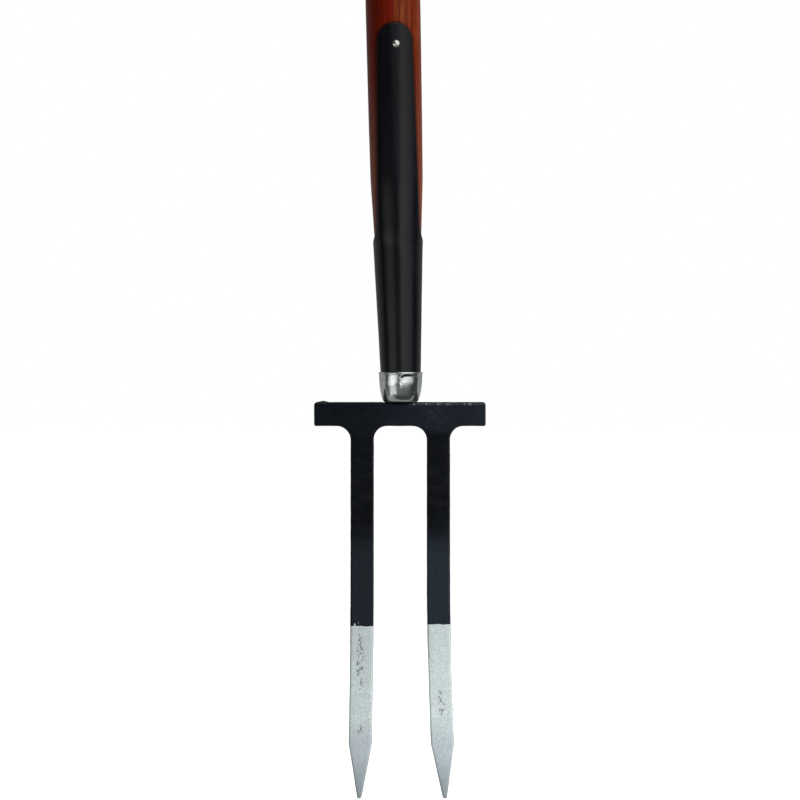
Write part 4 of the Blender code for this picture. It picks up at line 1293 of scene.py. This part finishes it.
class AddFasteners(bpy.types.Operator):
    """Add the rivets, the grip's rod and their washers"""

    bl_idname = "border_fork.add_fasteners"
    bl_label = "Fasteners"

    def execute(self, context):
        lean = context.scene.border_fork.handle.lean
        bright = steel_finish("bright_rivet", RIVET_STEEL, 0.16)
        zinc = steel_finish("zinc_plate", ZINC, 0.34)
        strap_seat = float(smooth_reading(SOCKET_AT, STRAP_RIVET_HEIGHT)) + GAP
        crotch_seat = CROTCH_SEAT + WASHER_THICKNESS + 2.0 * GAP
        rod_seat = ARM_INSIDE + ARM_THICKNESS + WASHER_THICKNESS + 2.0 * GAP
        sideways = (1.0, 0.0, 0.0)
        forwards = (math.sin(STRAP_RIVET_TURN), -math.cos(STRAP_RIVET_TURN), 0.0)
        rivets = (
            ("strap_rivet", STRAP_RIVET, strap_seat, STRAP_RIVET_HEIGHT, forwards, bright, "bright_steel"),
            ("crotch_rivet", CROTCH_RIVET, crotch_seat, CROTCH_RIVET_HEIGHT, sideways, zinc, "zinc_steel"),
            ("grip_rod", GRIP_ROD, rod_seat, GRIP_HEIGHT, sideways, zinc, "zinc_steel"),
        )
        for node, sizes, seat, height, axis, finish, slot in rivets:
            grid = turned(domed_rivet(*sizes, seat), RIVET_STEPS, (0.0, 0.0, height), axis)
            grid.points = on_shaft(grid.points, lean)
            add_piece(f"{node}_heads", [grid], finish, (node,))
        washers = (
            ("crotch_washer", CROTCH_WASHER, CROTCH_SEAT + GAP, CROTCH_RIVET_HEIGHT),
            ("grip_washer", GRIP_WASHER, ARM_INSIDE + ARM_THICKNESS + GAP, GRIP_HEIGHT),
        )
        for name, sizes, start, height in washers:
            for side, sign in (("left", -1.0), ("right", 1.0)):
                profile = washer_profile(*sizes, start)
                grid = turned(profile, WASHER_STEPS, (0.0, 0.0, height), (sign, 0.0, 0.0), closed=True)
                grid.points = on_shaft(grid.points, lean)
                add_piece(f"{name}_{side}_plated", [grid], zinc, (f"{name}_{side}",))
        return {"FINISHED"}


class DressHiddenSteel(bpy.types.Operator):
    """Give the tang and the socket's plug their bare steel"""

    bl_idname = "border_fork.dress_hidden_steel"
    bl_label = "Hidden steel"

    def execute(self, context):
        dress_node("tang", steel_finish("forged_tang", FORGED_STEEL, 0.55, 300.0))
        dress_node("socket_plug", steel_finish("plug_steel", PLUG_STEEL, 0.42))
        return {"FINISHED"}


def add_camera():
    """Camera square to the front, at the distance and height of the photograph."""
    data = bpy.data.cameras.new("photo_camera")
    data.sensor_width = SENSOR
    data.lens = SENSOR * CAMERA_DISTANCE / FRAME_WIDTH
    camera = bpy.data.objects.new("photo_camera", data)
    camera.location = (MIDDLE_X + CAMERA_ASIDE, MIDDLE_Y - CAMERA_DISTANCE, CAMERA_HEIGHT)
    camera.rotation_euler = (math.pi / 2.0, 0.0, 0.0)
    bpy.context.scene.collection.objects.link(camera)
    bpy.context.scene.camera = camera


def add_lamp(name, azimuth, elevation, size, brightness, pattern=None):
    """A rectangle at the lamps' distance, towards an azimuth and elevation in degrees.

    One with a pattern, which turns its places across and up from 0 to 1 into a strength, shows in gloss
    alone; one without lights everything else.
    """
    data = bpy.data.lights.new(name, "AREA")
    data.shape = "RECTANGLE"
    data.size, data.size_y = size
    data.energy = brightness * math.pi * size[0] * size[1]
    lamp = bpy.data.objects.new(name, data)
    azimuth = math.radians(azimuth)
    elevation = math.radians(elevation)
    level = math.cos(elevation)
    back = Vector((math.sin(azimuth) * level, -math.cos(azimuth) * level, math.sin(elevation)))
    lamp.location = Vector((MIDDLE_X, MIDDLE_Y, CAMERA_HEIGHT)) + back * LAMP_DISTANCE
    lamp.rotation_euler = back.to_track_quat("Z", "Y").to_euler()
    lamp.visible_camera = False
    lamp.visible_glossy = pattern is not None
    lamp.visible_diffuse = pattern is None
    if pattern is not None:
        data.use_nodes = True
        nodes = Nodes(data.node_tree)
        place = nodes.add("ShaderNodeNewGeometry", {}, {}, output="Parametric")
        strength = pattern(place.part("X"), place.part("Y"))
        nodes.feed(data.node_tree.nodes["Emission"].inputs["Strength"], strength)
    bpy.context.scene.collection.objects.link(lamp)


def left_glow(across, up):
    """Brightest in its middle, falling off to both sides and to the top, where it narrows to the right."""
    beyond = across - 0.16 * up + 0.065
    hump = (4.0 * beyond * (1.0 - beyond)).or_more(0.0)
    return hump ** (1.3 + 1.5 * up) * up.rise(1.06, 0.45)


def right_glow(across, up):
    """Brightest at its left edge, which slants to the right with height."""
    from_edge = (across - up + 0.21).rise(0.0, 0.05)
    sideways = from_edge * across.rise(1.0, 0.95) * (1.36 - (0.45 + 1.9 * up) * across).or_more(0.2)
    return sideways * (up - 0.09 * across).rise(-0.02, 0.06) * up.rise(0.75, 0.35)


def low_glow(across, up):
    """Even, with a soft left edge and a soft top."""
    return across.rise(0.0, 0.15) * up.rise(1.0, 0.7)


def add_floor():
    """A round floor that keeps the fork's shadow, white to the camera and patterned in gloss.

    In gloss alone it glows, standing in for bright surroundings: dark, with a bright patch at the left
    front, a pale band far out at the right front, grey towards the left, and paler ground below and behind
    the fork.
    """
    angle = np.linspace(0.0, TURN, 96, endpoint=False)
    rings = np.array((0.0, 1.0, 40.0))[:, None]
    points = np.stack([rings * np.cos(angle), rings * np.sin(angle), 0.0 * rings * angle], axis=-1)
    grid = Grid(points, closed_columns=True)
    mesh = bpy.data.meshes.new("floor")
    mesh.from_pydata(points.reshape(-1, 3).tolist(), [], grid.faces()[:, ::-1].tolist())
    floor = bpy.data.objects.new("floor", mesh)
    bpy.context.scene.collection.objects.link(floor)
    finish = Finish("pale_floor")
    place = finish.place()
    x, y = place.part("X"), place.part("Y")
    camera = finish.ray("Camera")
    glossy = finish.ray("Glossy", "Transmission")
    away = x * x + y * y        # squared distance from the fork
    slant = x / (0.0 - y)       # in front: negative towards the left, positive towards the right
    in_front = y.rise(0.0, -0.05)
    within = away.rise_squared(1.5, 1.2)
    below = (y - 0.3 * x).rise(-0.32, -0.16) * (x * x).rise_squared(0.7, 0.5)
    turn = y / (x * x) ** 0.5 + 0.30 * x.rise(0.1, -0.1)
    near = below.or_more(turn.rise(0.15, 0.45) * away.rise_squared(24.0, 18.0) * 1.15)
    # a glowing patch seen in gloss alone, in place of a lamp
    glowing_patch = away.rise_squared(0.55, 0.65) * slant.rise(-0.34, -0.62) * slant.rise(-2.6, -1.5) * in_front
    band = away.rise_squared(1.25, 1.45) * away.rise_squared(1.9, 1.6) * in_front
    band = band * slant.rise(-0.10, -0.03) * slant.rise(1.8, 0.1)
    grey = 0.12 * away.rise_squared(0.40, 0.60) * within * slant.rise(2.6, -0.3)
    # glow seen in gloss alone, which the fork reflects
    glow_in_gloss = 0.06 + grey + 0.75 * glowing_patch * within + 0.80 * band + 0.30 * near
    white = 0.6 * (1.0 - glossy)
    mesh.materials.append(finish.paint(
        Base_Color=finish.mix(white, (0.0, 0.0, 0.0), WHITE), Roughness=0.9, Specular_IOR_Level=0.0,
        Emission_Color=WHITE, Emission_Strength=camera * 0.83 + glossy * glow_in_gloss))


def set_world(ambient):
    """White to the camera, a dim room in gloss, and even light for everything else.

    The room has a grey backdrop behind the fork and a bright ceiling over its front and right.
    """
    world = bpy.data.worlds.new("studio")
    bpy.context.scene.world = world
    world.use_nodes = True
    world.cycles.sampling_method = "NONE"
    nodes = Nodes(world.node_tree)
    direction = nodes.add("ShaderNodeTexCoord", {}, {}, output="Generated")
    x, y, z = (direction.part(axis) for axis in "XYZ")
    camera = nodes.ray("Camera")
    glossy = nodes.ray("Glossy", "Transmission")
    behind = y - x.rise(-0.5, 0.5) * 0.10
    backdrop = behind.rise(0.0, 0.12) * (0.28 - 0.10 * y.rise(0.75, 1.0)) * z.rise(1.0, 0.6)
    ceiling = z.rise(0.06, 0.14) * x.rise(-0.30, -0.08) * y.rise(0.1, -0.1)
    room = 0.04 + backdrop + 0.9 * ceiling + 0.15 * z.rise(0.6, 0.9)
    dim = (1.0 - camera) * (glossy * room + (1.0 - glossy) * ambient)
    background = world.node_tree.nodes["Background"]
    nodes.feed(background.inputs["Color"], WHITE)
    nodes.feed(background.inputs["Strength"], camera + dim)


class SetStage(bpy.types.Operator):
    """Set up the floor, background, lamps and camera"""

    bl_idname = "border_fork.set_stage"
    bl_label = "Stage"

    def execute(self, context):
        stage = context.scene.border_fork.stage
        context.scene.view_settings.view_transform = "Standard"
        add_camera()
        add_floor()
        set_world(stage.ambient)
        add_lamp("left_panel", -43.0, -3.5, (2.14, 0.40), 1.25 * stage.panel, left_glow)
        add_lamp("right_panel", 38.5, 14.0, (2.00, 1.30), stage.panel, right_glow)
        add_lamp("low_panel", -0.9, -8.0, (0.32, 0.14), 1.8 * stage.panel, low_glow)
        add_lamp("key", 50.0, 20.0, (1.0, 1.0), stage.key)
        add_lamp("back_fill", 165.0, 25.0, (1.6, 1.6), stage.fill)
        return {"FINISHED"}


OPERATORS = (AddHead, AddSocket, AddCollar, AddHandle, AddFasteners, DressHiddenSteel, SetStage)


class ForkPanel(bpy.types.Panel):
    """Lists the fork's pieces and settings"""

    bl_idname = "VIEW3D_PT_border_fork"
    bl_label = "Border fork"
    bl_space_type = "VIEW_3D"
    bl_region_type = "UI"
    bl_category = "Fork"

    def draw(self, context):
        settings = context.scene.border_fork
        for operator in OPERATORS:
            self.layout.operator(operator.bl_idname)
        for group in (settings.head, settings.socket, settings.collar, settings.handle, settings.stage):
            box = self.layout.box()
            for name in group.__annotations__:
                box.prop(group, name)


CLASSES = (
    HeadSettings, SocketSettings, CollarSettings, HandleSettings, StageSettings, ForkSettings,
    *OPERATORS, ForkPanel,
)


def register():
    for item in CLASSES:
        bpy.utils.register_class(item)
    bpy.types.Scene.border_fork = PointerProperty(type=ForkSettings)


def unregister():
    del bpy.types.Scene.border_fork
    for item in reversed(CLASSES):
        bpy.utils.unregister_class(item)


def main():
    """Build every piece and the stage."""
    register()
    bpy.ops.border_fork.add_head()
    bpy.ops.border_fork.add_socket()
    bpy.ops.border_fork.add_collar()
    bpy.ops.border_fork.add_handle()
    bpy.ops.border_fork.add_fasteners()
    bpy.ops.border_fork.dress_hidden_steel()
    bpy.ops.border_fork.set_stage()


if __name__ == "__main__":
    main()
